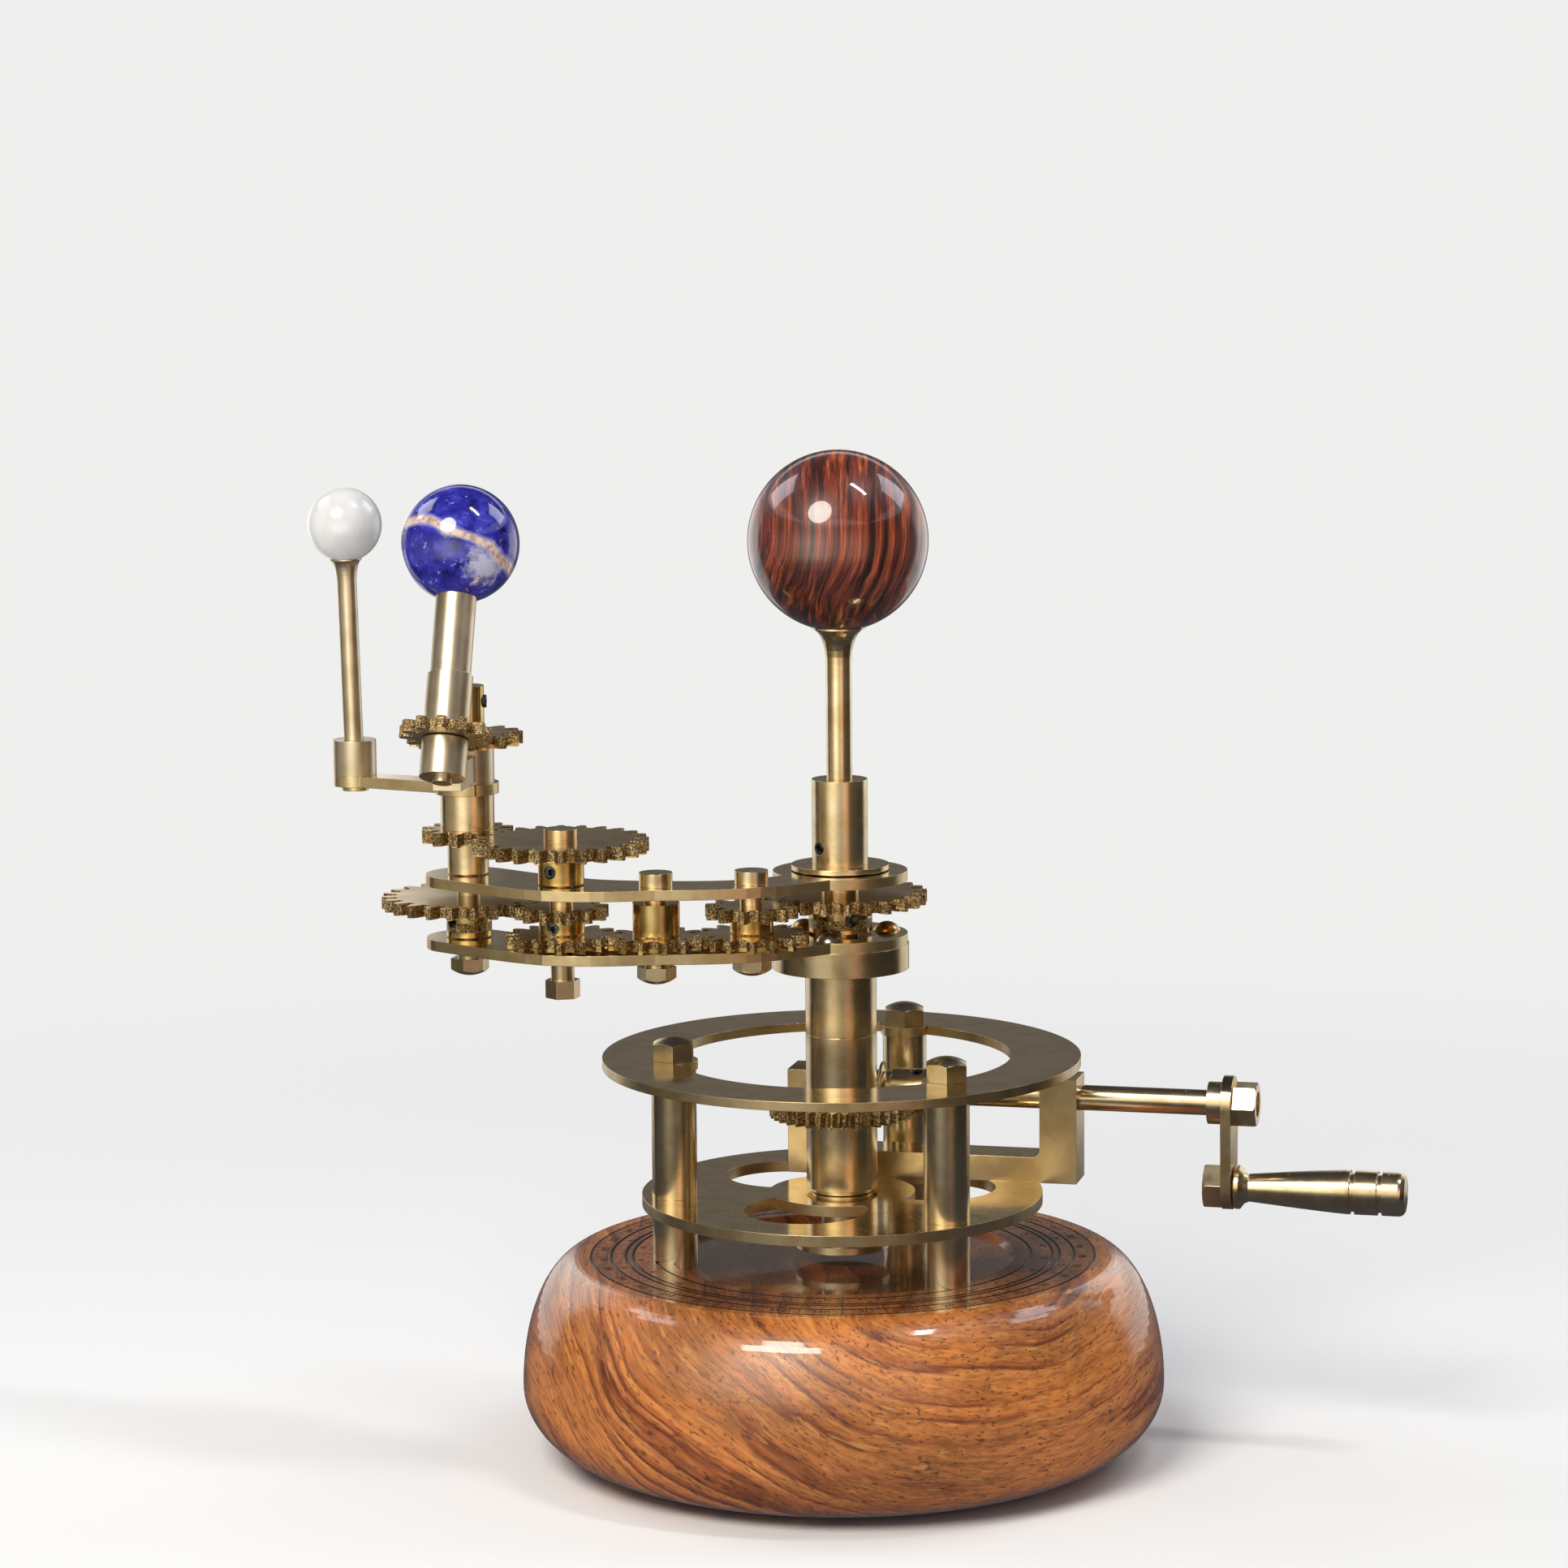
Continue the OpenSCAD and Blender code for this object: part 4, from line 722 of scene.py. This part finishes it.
def paper():
    material, tree = empty("paper_pale_sheet")
    matt = add(tree, "BsdfDiffuse", {"Color": "#e9e9e8"})
    glow = add(tree, "Emission", {"Color": backdrop_colour, "Strength": 1.0})
    place = add(tree, "TexCoord", out="Object")
    reach = add(tree, "VectorMath", place, out="Value", operation="LENGTH")
    far = add(tree, "MapRange", {"Value": reach, "From Min": 0.12, "From Max": 0.5},
              interpolation_type="SMOOTHSTEP")
    lit = add(tree, "Math", far, seen_as_picture(tree), operation="MULTIPLY")
    faded = add(tree, "MixShader", lit, matt, glow)
    add(tree, "OutputMaterial", {"Surface": faded}, out=None)
    return material


floor_half = 6.0
sheet("floor", square(floor_half, 0), [(0, 1, 2, 3)], paper())
print("floor is", 2 * floor_half, "m wide")

# %% [markdown]
# The world works the same way: the backdrop is pale to the eye and in mirrors, and everything else
# gets a soft, slightly cool light from all round.

# %% World
world = bpy.data.worlds.new("studio")
bpy.context.scene.world = world
world.use_nodes = True
tree = world.node_tree
tree.nodes.clear()
backdrop = add(tree, "Background", {"Color": backdrop_colour, "Strength": 1.0})
soft_strength = 0.42
soft = add(tree, "Background", {"Color": "#dfe3ea", "Strength": soft_strength})
mix = add(tree, "MixShader", seen_as_picture(tree), soft, backdrop)
add(tree, "OutputWorld", {"Surface": mix}, out=None)
print("the world lights the scene softly at strength", soft_strength)

# %% [markdown]
# ## Soft boxes
# The photograph's own highlight tells where its lamp stood. On the sun ball the round spot sits up
# and to the left, and a mirror ball turns a ray by twice the angle of its surface, so the lamp is
# 27 degrees left of the camera and 41 degrees up. Weaker boxes at the back draw the pale sheens
# along the shoulders of the wooden base.

# %% Lamps
middle_of_arm = Vector((-0.01, 0, 0.07))


def soft_box(name, position, size, watts, colour="#ffffff", shape="RECTANGLE"):
    lamp = bpy.data.lights.new(name, "AREA")
    lamp.shape, lamp.size, lamp.size_y = shape, size[0], size[1]
    lamp.energy, lamp.color = watts, linear(colour)[:3]
    box = bpy.data.objects.new(name, lamp)
    bpy.context.scene.collection.objects.link(box)
    box.location = position
    aim = middle_of_arm - Vector(position)
    box.rotation_euler = aim.to_track_quat("-Z", "Y").to_euler()


soft_box("key_box", (-0.36, -0.67, 0.79), (0.5, 0.5), 9.0, "#fffaf2", "DISK")
soft_box("top_strip", (0.32, -0.16, 0.95), (0.06, 0.3), 1.6)
soft_box("left_back_box", (-0.75, 0.4, 0.8), (0.5, 0.45), 2.4, "#f4f6ff")
soft_box("right_back_box", (0.75, 0.4, 0.8), (0.5, 0.45), 2.4, "#f4f6ff")

# %% [markdown]
# ## What the metal mirrors
# Polished metal shows what stands round it, so brass in an empty white room looks like plastic.
# In a studio, cards and cloths stand round it. Here one curved sheet plays them all: it stands in
# a ring round the object, only mirror rays see it, and a color ramp paints its light over the
# angle. An upright cylinder turns the angle of its surface into twice that angle on the ring, so
# a bright part of the ramp becomes a streak on every post. The flat plates mirror the dark part
# behind the object. The front half is dimmer near the floor, and all of it fades towards its top.

# %% Tones of the ring
# Degrees round the ring: 0 is towards the camera, positive to the right.
tones = [(-180, "#3b3937"), (-164, "#3b3937"), (-156, "#a3a2a0"), (-124, "#a3a2a0"),
         (-114, "#121316"), (-106, "#1a1b1f"), (-94, "#5b574e"), (-62, "#6d685e"),
         (-48, "#a5a092"), (-38, "#cfcbbe"), (-22, "#cfcbbe"), (-12, "#b0ab9d"),
         (-2, "#948e82"), (8, "#8a8376"), (18, "#ae9280"), (26, "#a98c7a"), (42, "#3d382f"),
         (100, "#2b2926"), (112, "#121316"), (122, "#a3a2a0"), (154, "#a3a2a0"),
         (162, "#3b3937"), (180, "#3b3937")]
print(len(tones), "tones go round the ring")


# %% Ring
def mirror_only(piece):
    """Hides a stage piece from everything but mirror rays."""
    piece.visible_camera = piece.visible_diffuse = piece.visible_shadow = False
    piece.visible_transmission = False


def ring_cloth():
    material, tree = empty("cloth_mirror_ring")
    part = add(tree, "SeparateXYZ", add(tree, "TexCoord", out="Object"), out=None).outputs
    ahead = add(tree, "Math", part["Y"], -1, operation="MULTIPLY")
    turn = add(tree, "Math", part["X"], ahead, operation="ARCTAN2")
    place = add(tree, "Math", turn, 1 / (2 * math.pi), 0.5, operation="MULTIPLY_ADD")
    colour = add(tree, "ValToRGB", place, stops=[(d / 360 + 0.5, c) for d, c in tones])
    rise = add(tree, "MapRange", {"Value": part["Z"], "From Min": 0.03, "From Max": 0.095,
                                  "To Min": 0.6, "To Max": 3.6}, interpolation_type="SMOOTHSTEP")
    back = add(tree, "Math", part["Y"], 0.09, operation="GREATER_THAN")
    behind = add(tree, "Math", back, 2.2, operation="MULTIPLY")
    even = add(tree, "Math", rise, behind, operation="MAXIMUM")
    fall = add(tree, "MapRange", {"Value": part["Z"], "From Min": 0.16, "From Max": 0.25,
                                  "To Min": 1.0, "To Max": 0.15}, interpolation_type="SMOOTHSTEP")
    strength = add(tree, "Math", even, fall, operation="MULTIPLY")
    light = add(tree, "Emission", {"Color": colour, "Strength": strength})
    add(tree, "OutputMaterial", {"Surface": light}, out=None)
    return material


count, ring_r, ring_h = 90, 0.27, 0.27
turns = [2 * math.pi * k / count for k in range(count)]
points = [(ring_r * math.sin(t), -ring_r * math.cos(t), z) for z in (0, ring_h) for t in turns]
faces = [(k, (k + 1) % count, (k + 1) % count + count, k + count) for k in range(count)]
mirror_only(sheet("mirror_ring", points, faces, ring_cloth()))
print("the ring stands", ring_r, "m away and is", ring_h, "m high")

# %% [markdown]
# Two plain cloths complete it. A dark one over the lamps keeps the tops of the domes from going
# white, and a slate one on the floor is what the low sides of the base and the balls mirror.


# %% Cloths above and below
def plain_cloth(name, colour):
    material, tree = empty("cloth_" + name)
    light = add(tree, "Emission", {"Color": colour, "Strength": 1.0})
    add(tree, "OutputMaterial", {"Surface": light}, out=None)
    return material


mirror_only(sheet("ceiling", square(1.45, 1.05), [(0, 1, 2, 3)],
                  plain_cloth("ceiling", "#3a3c43")))
just_above = 0.05 * MM
under = [(x, y, just_above) for x, y, z in points[:count]]
mirror_only(sheet("table_cloth", under, [tuple(range(count))],
                  plain_cloth("table_cloth", "#4a4c54")))
print("two cloths lie above and below")

# %% [markdown]
# ## Camera
# The photograph was taken with a long lens from a little above the arm. These numbers come from
# fitting a camera to points of known height and radius on the object.

# %% Camera
camera_data = bpy.data.cameras.new("camera")
camera_data.sensor_width = 36.0
camera_data.lens = 113.385
camera = bpy.data.objects.new("camera", camera_data)
bpy.context.scene.collection.objects.link(camera)
camera.location = (0.0012, -0.79683, 0.22516)
yaw, pitch, roll = math.radians(-0.737), math.radians(8.099), math.radians(-0.485)
ahead = Vector((math.sin(yaw) * math.cos(pitch), math.cos(yaw) * math.cos(pitch),
                -math.sin(pitch)))
level_right = Vector((math.cos(yaw), -math.sin(yaw), 0))
level_up = level_right.cross(ahead)
right = level_right * math.cos(roll) + level_up * math.sin(roll)
up = level_up * math.cos(roll) - level_right * math.sin(roll)
camera.rotation_euler = Matrix((right, up, -ahead)).transposed().to_euler()
camera_data.clip_start, camera_data.clip_end = 0.05, 50
bpy.context.scene.camera = camera
bpy.context.scene.view_settings.view_transform = "Standard"
print("camera looks down by", round(math.degrees(pitch), 2), "degrees")
